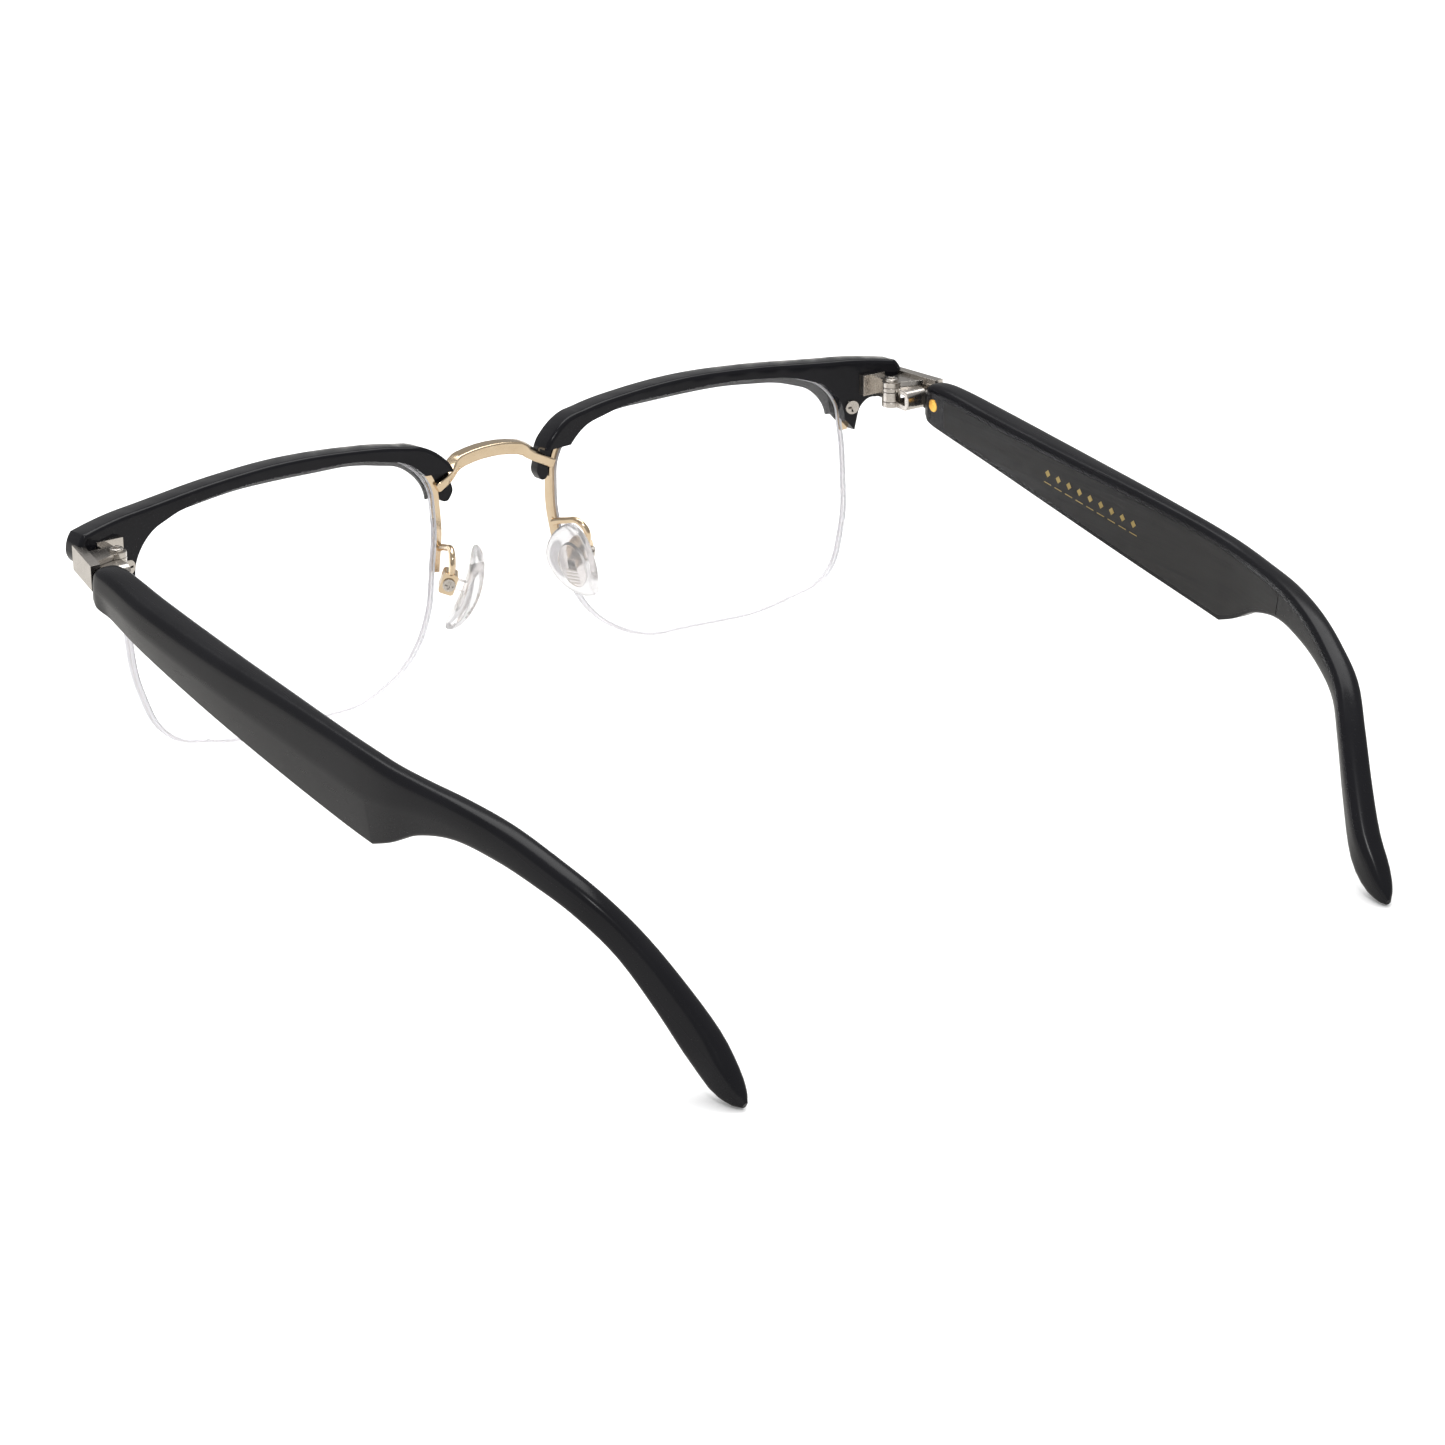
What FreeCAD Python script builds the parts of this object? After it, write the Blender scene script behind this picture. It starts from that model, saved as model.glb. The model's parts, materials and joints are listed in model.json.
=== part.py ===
import FreeCAD, Part
import math
import os
from FreeCAD import Placement, Rotation, Vector

os.makedirs("parts", exist_ok=True)

# Half rim eyeglasses, millimetres. +X is the wearer's left, the front faces -Y, +Z is up.
# The glasses stand open on their lower lens edges and temple tips. Each left piece is
# modelled at +X and mirrored for the right side.

# Lenses
lens_width = 51.3
lens_height = 37.7
lens_spacing = 20.9
lens_thickness = 2.2
base_radius = 140.0
rim_tilt = 6.2
rim_wrap = 2.0
cord_diameter = 0.5
cord_sink = 0.13
groove_clearance = 0.06

# Eyewire, the metal half rim that sits in the brow bar's channel
eyewire_width = 0.95
eyewire_depth = 1.4
lens_seat_gap = 0.05
lug_radius = 1.1
lug_offset = 0.75
lug_across = 0.984
lug_up = 0.60

# Brow bar
brow_front = 1.6
brow_rear = 2.7
channel_gap = 0.05
front_lip = 1.5
rear_lip = 0.35
brow_rise = 1.75
end_reach = 8.35
end_height = 4.3
front_rounding = 0.6
rear_rounding = 0.6
rounding_reach = 8.4
tip_reach = 10.0
step_reach = 7.4
nasal_step = 0.55
nasal_step_drop = 4.6
nasal_step_reach = 3.4
brow_screw_radius = 1.05
brow_screw_head_height = 0.35
brow_shank_radius = 0.4
cross_width = 0.3
cross_depth = 0.25
cross_share = 1.3

# Bridge
bridge_height = 1.9
bridge_depth = 2.2
bridge_arch = 1.2
bridge_span_inset = 3.6
bridge_fold_width = 1.65
bridge_foot_thickness = 0.85
bridge_foot_height = 1.45
bridge_foot_slope = 0.54
bridge_foot_drop = 0.55

# Hinge
hinge_reach = 4.25
hinge_setback = 3.9
knuckle_radius = 1.45
hinge_drop = 2.37
lower_ear = 0.9
middle_knuckle = 1.4
upper_ear = 0.7
top_ear = 0.75
ear_gap = 0.05
hinge_screw_radius = 0.5
hinge_screw_head_radius = 1.0
hinge_screw_head_height = 0.5
screw_fit = 0.02
hinge_running_fit = 0.04
leaf_width = 3.6
leaf_length = 4.35
leaf_corner = 1.2
leaf_to_temple = 0.5
window_length = 3.4
web_inner = 0.6
web_outer = 1.2
neck_outer = 0.9
wing_offset = 4.6
wing_thickness = 1.5
wing_flare = 11.0
wing_lip = 0.45
foot_reach = 2.8
foot_thickness = 1.2
foot_height = 3.2
foot_lift = 0.4

# Temples
temple_inset = 2.4
temple_front_gap = 0.1
temple_reach = 131.1
tongue_thickness = 1.2
tongue_height = 2.5
tongue_length = 5.4
tongue_hold = 0.7
core_radius = 0.5
inlay_thickness = 0.75
inlay_start = 5.4
inlay_end = 87.0
inlay_top_margin = 1.3
inlay_bottom_margin = 0.8
rivet_radius = 1.0
rivet_shank_radius = 0.5
rivet_head = 0.25
rivet_sink = 0.15
rivet_length = 2.6
rivet_setback = 2.7

# Nose pads
pad_height = 13.4
pad_width = 8.0
pad_thickness = 2.5
pad_splay = 31.0
pad_frontal_angle = 20.0
pad_rounding = 0.9
pad_inset = 1.28
pad_setback = 7.11
pad_drop = 1.73
pad_core_height = 7.6
pad_core_width = 4.0
pad_core_thickness = 0.7
pad_axis_offset = 2.95
post_thickness = 1.2
post_width = 1.5
box_length = 2.8
box_height = 3.2
box_depth = 2.3
box_wall = 0.35
box_back_wall = 0.4
box_rounding = 0.5
slot_clearance = 0.1
pad_screw_radius = 0.35
pad_screw_head_radius = 0.95
pad_screw_head_height = 0.4
arm_radius = 0.5

half_width = lens_width / 2
half_height = lens_height / 2
through_reach = 12.0
X_AXIS = Vector(1, 0, 0)
Y_AXIS = Vector(0, 1, 0)
Z_AXIS = Vector(0, 0, 1)


def box_between(low, high):
    """Return the box with these opposite corners."""
    size = high - low
    return Part.makeBox(size.x, size.y, size.z, low)


def lens_sag(across, up):
    """Return how far the lens's middle surface lies behind its centre."""
    return base_radius - math.sqrt(base_radius ** 2 - across ** 2 - up ** 2)


def biarc(start, start_dir, end, end_dir):
    """Return two arcs, as point triples, that join smoothly and meet both directions."""
    span = end - start
    turn = start_dir + end_dir
    a = 2 * (1 - start_dir.dot(end_dir))
    b = 2 * span.dot(turn)
    c = -span.dot(span)
    if abs(a) < 1e-9:
        reach = -c / b
    else:
        reach = (-b + math.sqrt(b * b - 4 * a * c)) / (2 * a)
    corner_a = start + start_dir * reach
    corner_b = end - end_dir * reach
    joint = (corner_a + corner_b) * 0.5
    return [arc_points(start, corner_a, joint), arc_points(joint, corner_b, end)]


def arc_points(start, corner, end):
    """Return start, middle and end of the arc that is tangent to both sides of corner."""
    chord_middle = (start + end) * 0.5
    bulge = corner - chord_middle
    height = bulge.Length
    half_chord = (end - start).Length / 2
    if height < 1e-6:
        return (start, chord_middle, end)
    side = math.hypot(height, half_chord)
    return (start, chord_middle + bulge * (half_chord / (side + half_chord)), end)


def chain_tangents(points, closed):
    """Return a unit direction at each point, from the circle through it and its neighbours."""
    count = len(points)
    tangents = []
    for index in range(count):
        before = points[index - 1] if closed or index > 0 else None
        after = points[(index + 1) % count] if closed or index < count - 1 else None
        here = points[index]
        if before is None:
            step = after - here
            beyond = points[index + 2] - here
            direction = step * (beyond.Length ** 2) - beyond * (step.Length ** 2)
        elif after is None:
            step = here - before
            beyond = here - points[index - 2]
            direction = step * (beyond.Length ** 2) - beyond * (step.Length ** 2)
        else:
            into = here - before
            out = after - here
            direction = into * (out.Length ** 2) + out * (into.Length ** 2)
        tangents.append(direction.normalize())
    return tangents


def arc_chain(points, closed=False):
    """Return smooth arcs through the points, two arcs to each span."""
    tangents = chain_tangents(points, closed)
    count = len(points)
    spans = count if closed else count - 1
    arcs = []
    for index in range(spans):
        following = (index + 1) % count
        arcs.extend(biarc(points[index], tangents[index], points[following], tangents[following]))
    return arcs


def arc_edge(arc):
    """Return one arc as an edge, or a line when it is straight."""
    start, middle, end = arc
    offset = middle - (start + end) * 0.5
    if offset.Length < 1e-5:
        return Part.LineSegment(start, end).toShape()
    return Part.Arc(start, middle, end).toShape()


def chain_wire(arcs):
    """Return the arcs as one wire."""
    return Part.Wire([arc_edge(arc) for arc in arcs])


def tube_along(arcs, radius):
    """Return a round tube along a chain of arcs."""
    first = arc_edge(arcs[0])
    direction = first.tangentAt(first.FirstParameter)
    profile = Part.Wire([Part.makeCircle(radius, arcs[0][0], direction)])
    return chain_wire(arcs).makePipeShell([profile], True, False)


def tube(points, radius):
    """Return a round tube along the smooth arcs through the points."""
    return tube_along(arc_chain(points), radius)


# ---------------------------------------------------------------- rim, in its own frame
# In the rim's frame X runs across the lens to the temple, Y to the wearer and Z up.

LENS_SHAPE = [
    (-1.000, 0.370),
    (-0.967, -0.050),
    (-0.924, -0.350),
    (-0.815, -0.640),
    (-0.520, -0.930),
    (-0.060, -1.000),
    (0.500, -0.964),
    (0.838, -0.787),
    (0.970, -0.385),
    (1.000, 0.050),
    (0.992, 0.390),
    (0.955, 0.670),
    (0.870, 0.810),
    (0.700, 0.915),
    (0.350, 0.990),
    (-0.150, 1.003),
    (-0.620, 0.965),
    (-0.850, 0.865),
    (-0.965, 0.690),
]
EYEWIRE_NASAL_POINT = 1
EYEWIRE_TEMPLE_POINT = 10


def lens_points():
    """Return the lens outline's points in the rim's XZ plane."""
    return [Vector(across * half_width, 0, up * half_height) for across, up in LENS_SHAPE]


def outline_normals():
    """Return the outward direction at each point of the lens outline."""
    tangents = chain_tangents(lens_points(), True)
    return [Vector(direction.z, 0, -direction.x) for direction in tangents]


def offset_points(distance):
    """Return the lens outline's points moved outward by a distance."""
    pairs = zip(lens_points(), outline_normals())
    return [point + normal * distance for point, normal in pairs]


def upper_arcs(points):
    """Return the outline's arcs from the eyewire's temple end over the top to its nasal end."""
    arcs = arc_chain(points, True)
    return arcs[2 * EYEWIRE_TEMPLE_POINT:] + arcs[:2 * EYEWIRE_NASAL_POINT]


def on_lens_surface(points):
    """Return the points moved back onto the lens's middle surface."""
    return [Vector(point.x, lens_sag(point.x, point.z), point.z) for point in points]


def through_prism(wire):
    """Return the wire's face extruded through the whole depth of the rim."""
    face = Part.Face(wire)
    face.translate(Vector(0, -through_reach, 0))
    return face.extrude(Vector(0, 2 * through_reach, 0))


def curved_layer(solid, front, rear):
    """Keep the part of a solid between two depths that follow the lens's curve."""
    centre = Vector(0, base_radius, 0)
    outer = Part.makeSphere(base_radius - front, centre)
    inner = Part.makeSphere(base_radius - rear, centre)
    return solid.common(outer).cut(inner)


def closed_outline(distance):
    """Return the lens outline, moved outward by a distance, as a closed wire."""
    return chain_wire(arc_chain(offset_points(distance), True))


def make_lens():
    """Return the lens with the cord's groove round its edge."""
    blank = through_prism(closed_outline(0))
    lens = curved_layer(blank, -lens_thickness / 2, lens_thickness / 2)
    return lens.cut(groove_ring())


def cord_seat_points():
    """Return the points of the route that the cord and its bead share, round the lens."""
    return on_lens_surface(offset_points(-cord_sink))


def groove_ring():
    """Return the round groove that runs right round the lens edge."""
    arcs = arc_chain(cord_seat_points(), True)
    return tube_along(arcs, cord_diameter / 2 + groove_clearance)


def make_lens_cord():
    """Return the nylon cord that holds the lens from below, its ends inside the eyewire."""
    arcs = arc_chain(cord_seat_points(), True)
    return tube_along(arcs[:2 * EYEWIRE_TEMPLE_POINT], cord_diameter / 2)


def make_liner():
    """Return the nylon bead that seats the lens in the eyewire, between the cord's ends."""
    arcs = arc_chain(cord_seat_points(), True)
    return tube_along(arcs[2 * EYEWIRE_TEMPLE_POINT + 2:-2], cord_diameter / 2)


def eyewire_band():
    """Return the closed band profile between the lens edge and the eyewire's back."""
    inner = upper_arcs(offset_points(lens_seat_gap))
    outer = upper_arcs(offset_points(lens_seat_gap + eyewire_width))
    edges = [arc_edge(arc) for arc in inner + outer]
    edges.append(Part.LineSegment(inner[-1][2], outer[-1][2]).toShape())
    edges.append(Part.LineSegment(inner[0][0], outer[0][0]).toShape())
    return Part.Wire(Part.__sortEdges__(edges))


def lug_centre():
    """Return the centre of the eyewire's screw lug in the XZ plane."""
    return Vector(lug_across * half_width + lug_offset, 0, lug_up * half_height)


def round_bar(centre, radius, front, rear):
    """Return a bar along Y whose ends follow the lens's curve."""
    bar = Part.makeCylinder(radius, 2 * through_reach, centre - Y_AXIS * through_reach, Y_AXIS)
    return curved_layer(bar, front, rear)


def make_eyewire():
    """Return the metal half rim with its bead groove and its screw lug."""
    half_depth = eyewire_depth / 2
    band = curved_layer(through_prism(eyewire_band()), -half_depth, half_depth)
    lug = round_bar(lug_centre(), lug_radius, -half_depth, half_depth)
    lens_space = through_prism(closed_outline(lens_seat_gap))
    shank = round_bar(lug_centre(), brow_shank_radius + screw_fit, -half_depth, half_depth)
    return band.fuse(lug.cut(lens_space)).cut(groove_ring()).cut(shank).removeSplitter()


def brow_outline():
    """Return the brow bar's outline, seen from the front, in the rim's frame."""
    top = half_height + brow_rise
    end_x = half_width + end_reach
    end_top = half_height - 1.2
    crest = [
        Vector(-half_width - 0.95, 0, half_height - 8.5),
        Vector(-half_width - 1.95, 0, half_height - 9.5),
        Vector(-half_width - 2.95, 0, half_height - 8.5),
        Vector(-half_width - 2.8, 0, half_height - 6.3),
        Vector(-half_width - 2.25, 0, half_height - 4.0),
        Vector(-half_width - 0.45, 0, half_height - 1.9),
        Vector(-half_width + 1.9, 0, half_height - 0.4),
        Vector(-0.78 * half_width, 0, top - 1.35),
        Vector(-0.44 * half_width, 0, top - 0.4),
        Vector(-0.08 * half_width, 0, top),
        Vector(0.36 * half_width, 0, top - 0.45),
        Vector(0.78 * half_width, 0, top - 1.35),
        Vector(half_width + 3.4, 0, half_height - 0.35),
        Vector(end_x - 0.7, 0, end_top + 0.15),
    ]
    under = [
        Vector(end_x - 0.6, 0, end_top - end_height),
        Vector(half_width + 5.2, 0, half_height - 6.5),
        Vector(half_width + 3.4, 0, half_height - 6.6),
        Vector(half_width + 2.3, 0, half_height - 7.5),
        Vector(half_width + 1.7, 0, half_height - 8.9),
    ]
    fin_tip = Vector(half_width + 1.15, 0, half_height - 11.2)
    inner = [
        Vector(half_width + 0.8, 0, half_height - 11.2),
        Vector(half_width - 1.15, 0, half_height - 8.8),
        Vector(0.70 * half_width, 0, 0.55 * half_height),
        Vector(-0.70 * half_width, 0, 0.55 * half_height),
        Vector(-half_width + 1.0, 0, half_height - 9.0),
    ]
    edges = [arc_edge(arc) for arc in arc_chain(crest)]
    end_round = [
        crest[-1],
        Vector(end_x, 0, end_top - 0.8),
        Vector(end_x, 0, end_top - end_height + 0.6),
        under[0],
    ]
    edges.extend(arc_edge(arc) for arc in arc_chain(end_round))
    edges.extend(arc_edge(arc) for arc in arc_chain(under))
    corners = [under[-1], fin_tip] + inner + [crest[0]]
    for start, end in zip(corners, corners[1:]):
        edges.append(Part.LineSegment(start, end).toShape())
    return Part.Wire(Part.__sortEdges__(edges))


def outer_rims(bar, depth, nasal_reach):
    """Return the bar's edges along its crest and its end, at one depth of the rim."""
    centre = Vector(0, base_radius, 0)
    rims = []
    for edge in bar.Edges:
        middle = edge.valueAt((edge.FirstParameter + edge.LastParameter) / 2)
        at_depth = abs(base_radius - depth - (middle - centre).Length) < 0.05
        beyond_lens = abs(middle.x) > half_width + 0.9 or middle.z > half_height + 0.5
        reach = nasal_reach if middle.x < 0 else rounding_reach
        if at_depth and beyond_lens and middle.z > half_height - reach:
            rims.append(edge)
    return rims


def make_brow():
    """Return the brow bar with its channel for the eyewire and its two lips."""
    bar = curved_layer(through_prism(brow_outline()), -brow_front, brow_rear)
    bar = bar.makeFillet(front_rounding, outer_rims(bar, -brow_front, tip_reach))
    bar = bar.makeFillet(rear_rounding, outer_rims(bar, brow_rear, step_reach))
    half_channel = eyewire_depth / 2 + channel_gap
    channel_offset = lens_seat_gap + eyewire_width + channel_gap
    channel = curved_layer(through_prism(closed_outline(channel_offset)), -half_channel, half_channel)
    half_seat = lens_thickness / 2 + channel_gap
    lens_space = curved_layer(through_prism(closed_outline(channel_gap)), -half_seat, half_seat)
    rear_opening = through_prism(closed_outline(-rear_lip))
    front_opening = through_prism(closed_outline(-front_lip))
    rear_window = curved_layer(rear_opening, half_channel - 0.1, brow_rear + 1)
    front_window = curved_layer(front_opening, -brow_front - 1, 0.1 - half_channel)
    nasal_window = front_window.copy()
    nasal_window.translate(Vector(rear_lip - front_lip, 0, 0))
    lug_space = round_bar(lug_centre(), lug_radius + channel_gap, -half_channel, half_channel)
    screw_bore = round_bar(lug_centre(), brow_shank_radius + screw_fit, 0, brow_rear + 1)
    step = box_between(
        Vector(-half_width - 5, -through_reach, half_height - 12),
        Vector(-half_width + nasal_step_reach, through_reach, half_height - nasal_step_drop),
    )
    nasal_cut = curved_layer(step, nasal_step, brow_rear + 1)
    windows = (rear_window, front_window, nasal_window)
    for space in (channel, lens_space, *windows, lug_space, screw_bore, nasal_cut):
        bar = bar.cut(space)
    return bar


def make_brow_screw():
    """Return the cross-head screw that clamps the eyewire's lug to the brow bar."""
    head_back = brow_rear + brow_screw_head_height
    head = round_bar(lug_centre(), brow_screw_radius, brow_rear, head_back)
    shank = round_bar(lug_centre(), brow_shank_radius, -eyewire_depth / 2, brow_rear + 0.1)
    crown = lug_centre() + Y_AXIS * (lens_sag(half_width, half_height / 2) + head_back)
    return head.fuse(shank).cut(cross_slot(crown, Y_AXIS, brow_screw_radius)).removeSplitter()


def cross_slot(centre, axis, head_radius):
    """Return the cross that is cut into a screw head, facing along an axis."""
    half_length = cross_share * head_radius / 2
    corner = Vector(half_length, cross_width / 2, cross_depth)
    turned_corner = Vector(cross_width / 2, half_length, cross_depth)
    cross = box_between(-corner, corner).fuse(box_between(-turned_corner, turned_corner))
    cross.Placement = Placement(centre, Rotation(Z_AXIS, axis))
    return cross


# ---------------------------------------------------------------- placing the rim

rim_x = lens_spacing / 2 + half_width
rim_y = -4.07
rim_rotation = Rotation(Z_AXIS, rim_wrap).multiply(Rotation(X_AXIS, rim_tilt))
rim_turn = Placement(Vector(0, 0, 0), rim_rotation)


def turned(shape):
    """Return a copy of a rim piece at the rim's tilt and wrap."""
    copy = shape.copy()
    copy.Placement = rim_turn.multiply(copy.Placement)
    return copy


resting_edge = Part.makeCompound([turned(make_lens()), turned(make_lens_cord())])
rim_z = -resting_edge.optimalBoundingBox().ZMin
rim_shift = Vector(rim_x, rim_y, rim_z)


def placed(shape):
    """Return a rim piece where it stands on the left side of the glasses."""
    copy = turned(shape)
    copy.translate(rim_shift)
    return copy


def rim_point(across, up, depth):
    """Return a place on the glasses from a place on the rim, depth behind the lens's middle."""
    local = Vector(across, lens_sag(across, up) + depth, up)
    return rim_rotation.multVec(local) + rim_shift


# ---------------------------------------------------------------- hinge

hinge_x = rim_x + half_width + hinge_reach
brow_back = rim_point(half_width + hinge_reach, half_height - 4.5, brow_rear)
hinge_y = brow_back.y + hinge_setback
hinge_axis = Vector(hinge_x, hinge_y, 0)
hinge_bottom = brow_back.z - hinge_drop
lower_ear_top = hinge_bottom + lower_ear
knuckle_bottom = lower_ear_top + ear_gap
knuckle_top = knuckle_bottom + middle_knuckle
upper_ear_bottom = knuckle_top + ear_gap
upper_ear_top = upper_ear_bottom + upper_ear
top_ear_bottom = upper_ear_top + ear_gap
top_ear_top = top_ear_bottom + top_ear
temple_front_height = (hinge_bottom + upper_ear_top) / 2
wing_top = top_ear_top + wing_lip
temple_front = hinge_y + leaf_length + leaf_to_temple
wing_end = temple_front - temple_front_gap


def hinge_cylinder(radius, bottom, top):
    """Return a cylinder on the hinge axis."""
    return Part.makeCylinder(radius, top - bottom, hinge_axis + Vector(0, 0, bottom))


def plan_prism(points, bottom, top):
    """Return a prism with straight sides from its plan."""
    corners = [Vector(x, y, bottom) for x, y in points]
    face = Part.Face(Part.makePolygon(corners + [corners[0]]))
    return face.extrude(Vector(0, 0, top - bottom))


def wing_x(y):
    """Return the outer face of the side wing at a place along it."""
    return hinge_x + wing_offset + math.tan(math.radians(wing_flare)) * (y - brow_back.y)


def make_endpiece():
    """Return the metal bracket: foot, web, two knuckles and the flared side wing."""
    foot_bottom = wing_top - foot_height
    foot = box_between(
        Vector(hinge_x - foot_reach, brow_back.y - foot_thickness / 2, foot_bottom),
        Vector(hinge_x + web_outer, brow_back.y + foot_thickness / 2, wing_top),
    )
    web = box_between(
        Vector(hinge_x - web_inner, brow_back.y, knuckle_bottom),
        Vector(hinge_x + web_outer, hinge_y - knuckle_radius - 3 * ear_gap, top_ear_top),
    )
    middle_neck = box_between(
        Vector(hinge_x - web_inner, brow_back.y, knuckle_bottom),
        Vector(hinge_x + neck_outer, hinge_y, knuckle_top),
    )
    middle = hinge_cylinder(knuckle_radius, knuckle_bottom, knuckle_top)
    top_round = hinge_cylinder(knuckle_radius, top_ear_bottom, top_ear_top)
    wing_front = brow_back.y - 0.5
    shelf_root = brow_back.y + foot_thickness / 3
    shelf_front = hinge_y - knuckle_radius - 0.6
    shelf_rear = hinge_y + leaf_length * 0.6
    shelf = plan_prism(
        [
            (hinge_x - web_inner, shelf_root),
            (hinge_x + web_outer, shelf_root),
            (hinge_x + web_outer, shelf_front),
            (wing_x(shelf_front) - wing_thickness / 2, shelf_front),
            (wing_x(shelf_rear) - wing_thickness / 2, shelf_rear),
            (hinge_x + neck_outer, hinge_y + knuckle_radius * 0.8),
            (hinge_x - web_inner, hinge_y),
        ],
        top_ear_bottom,
        top_ear_top,
    )
    wing = plan_prism(
        [
            (wing_x(wing_front) - wing_thickness, wing_front),
            (wing_x(wing_front), wing_front),
            (wing_x(wing_end), wing_end),
            (wing_x(wing_end) - wing_thickness, wing_end),
        ],
        foot_bottom - foot_lift,
        wing_top,
    )
    bracket = foot
    for piece in (web, middle_neck, middle, top_round, shelf, wing):
        bracket = bracket.fuse(piece)
    bore = hinge_cylinder(hinge_screw_radius + screw_fit, knuckle_bottom - 1, top_ear_top + 1)
    return bracket.cut(bore).removeSplitter()


def make_hinge_screw():
    """Return the hinge screw, its cross head on the top knuckle."""
    shank = hinge_cylinder(hinge_screw_radius, hinge_bottom + 0.1, top_ear_top + 0.1)
    head = hinge_cylinder(hinge_screw_head_radius, top_ear_top, top_ear_top + hinge_screw_head_height)
    rim_edges = [edge for edge in head.Edges if edge.BoundBox.ZMin > top_ear_top + 0.1]
    head = head.makeFillet(0.2, rim_edges)
    crown = hinge_axis + Vector(0, 0, top_ear_top + hinge_screw_head_height)
    return shank.fuse(head).cut(cross_slot(crown, Z_AXIS, hinge_screw_head_radius)).removeSplitter()


def make_hinge_leaf():
    """Return the temple's hinge leaf, two ears and a window behind the middle knuckle."""
    ears = hinge_cylinder(knuckle_radius, hinge_bottom, upper_ear_top)
    body = box_between(
        Vector(hinge_x, hinge_y, hinge_bottom),
        Vector(hinge_x + leaf_width, hinge_y + leaf_length, upper_ear_top),
    )
    end_edges = []
    for edge in body.Edges:
        box = edge.BoundBox
        if box.YMin > hinge_y + leaf_length - 0.01 and box.ZLength < 0.01:
            end_edges.append(edge)
    body = body.makeFillet(leaf_corner, end_edges)
    window = box_between(
        Vector(hinge_x - 5, hinge_y - 5, lower_ear_top),
        Vector(hinge_x + 5, hinge_y + window_length, upper_ear_bottom),
    )
    bore = hinge_cylinder(hinge_screw_radius + hinge_running_fit, hinge_bottom - 1, upper_ear_top + 1)
    return ears.fuse(body).cut(window).cut(bore).removeSplitter()


# ---------------------------------------------------------------- temple

# Each station along a temple: share of its length, height of its middle as a share of the
# front end's, offset outward from the inner face line, height, thickness, corner radius and
# downward lean.
TEMPLE_STATIONS = [
    (0.000, 1.000, 2.15, 4.6, 3.4, 1.2, 0),
    (0.010, 0.997, 2.15, 5.9, 4.3, 1.5, 0),
    (0.040, 0.988, 2.25, 6.8, 4.6, 1.5, 0),
    (0.120, 0.952, 2.50, 7.5, 5.0, 1.5, 0),
    (0.260, 0.893, 2.35, 9.2, 4.7, 1.5, 0),
    (0.400, 0.838, 1.90, 11.1, 3.8, 1.5, 0),
    (0.510, 0.797, 1.40, 12.1, 3.3, 1.4, 0),
    (0.562, 0.779, 1.00, 12.3, 3.3, 1.4, 0),
    (0.595, 0.796, 0.55, 10.4, 3.3, 1.4, 3),
    (0.637, 0.828, -0.40, 7.5, 3.3, 1.5, 8),
    (0.690, 0.840, -1.90, 5.6, 3.4, 1.6, 12),
    (0.745, 0.808, -3.80, 5.1, 3.5, 1.65, 17),
    (0.795, 0.747, -5.80, 4.5, 3.6, 1.7, 28),
    (0.842, 0.663, -8.10, 4.2, 3.7, 1.8, 40),
    (0.880, 0.530, -11.0, 4.2, 3.8, 1.85, 48),
    (0.917, 0.353, -13.7, 4.8, 3.9, 1.9, 52),
    (0.950, 0.188, -15.7, 5.3, 3.9, 1.9, 50),
    (0.975, 0.089, -16.4, 4.6, 3.4, 1.6, 42),
    (0.992, 0.038, -16.8, 2.8, 2.2, 1.0, 35),
    (1.000, 0.021, -17.0, 1.0, 0.8, 0.35, 30),
]

inner_x = hinge_x + temple_inset
temple_span = hinge_y + temple_reach - temple_front


def station_centre(station):
    """Return the middle of the temple's section at a station."""
    share, height_share, offset = station[:3]
    height = height_share * temple_front_height
    return Vector(inner_x + offset, temple_front + share * temple_span, height)


def section_wire(centre, direction, height, thickness, radius):
    """Return a rounded rectangle across the temple."""
    across = direction.cross(Z_AXIS).normalize()
    up = across.cross(direction).normalize()
    half_t = thickness / 2
    half_h = height / 2
    corners = [(half_t, half_h), (-half_t, half_h), (-half_t, -half_h), (half_t, -half_h)]
    edges = []
    starts = []
    for index, (a, b) in enumerate(corners):
        previous = corners[index - 1]
        following = corners[(index + 1) % 4]
        here = centre + across * a + up * b
        back = centre + across * previous[0] + up * previous[1] - here
        ahead = centre + across * following[0] + up * following[1] - here
        start = here + back.normalize() * radius
        end = here + ahead.normalize() * radius
        middle = here + (back + ahead) * (radius * (1 - math.sqrt(0.5)))
        edges.append(Part.Arc(start, middle, end).toShape())
        starts.append((start, end))
    joined = []
    for index in range(4):
        joined.append(edges[index])
        joined.append(Part.LineSegment(starts[index][1], starts[(index + 1) % 4][0]).toShape())
    return Part.Wire(joined)


def make_temple_body():
    """Return the whole temple as one solid, before anything is let into it."""
    centres = [station_centre(station) for station in TEMPLE_STATIONS]
    tangents = chain_tangents(centres, False)
    wires = []
    for station, centre, tangent in zip(TEMPLE_STATIONS, centres, tangents):
        height, thickness, radius, lean = station[3:]
        sideways = Vector(tangent.x, tangent.y, 0).normalize()
        if lean == 0:
            direction = Y_AXIS
        else:
            fall = math.radians(lean)
            direction = sideways * math.cos(fall) - Z_AXIS * math.sin(fall)
        wires.append(section_wire(centre, direction, height, thickness, radius))
    return Part.makeLoft(wires, True, False)


def temple_edge(y, side):
    """Return the height of the temple's top (side 1) or bottom (side -1) edge at y."""
    share = (y - temple_front) / temple_span
    for first, second in zip(TEMPLE_STATIONS, TEMPLE_STATIONS[1:]):
        if first[0] <= share <= second[0]:
            part = (share - first[0]) / (second[0] - first[0])
            start = first[1] * temple_front_height + side * first[3] / 2
            end = second[1] * temple_front_height + side * second[3] / 2
            return start + part * (end - start)
    return 0


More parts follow.
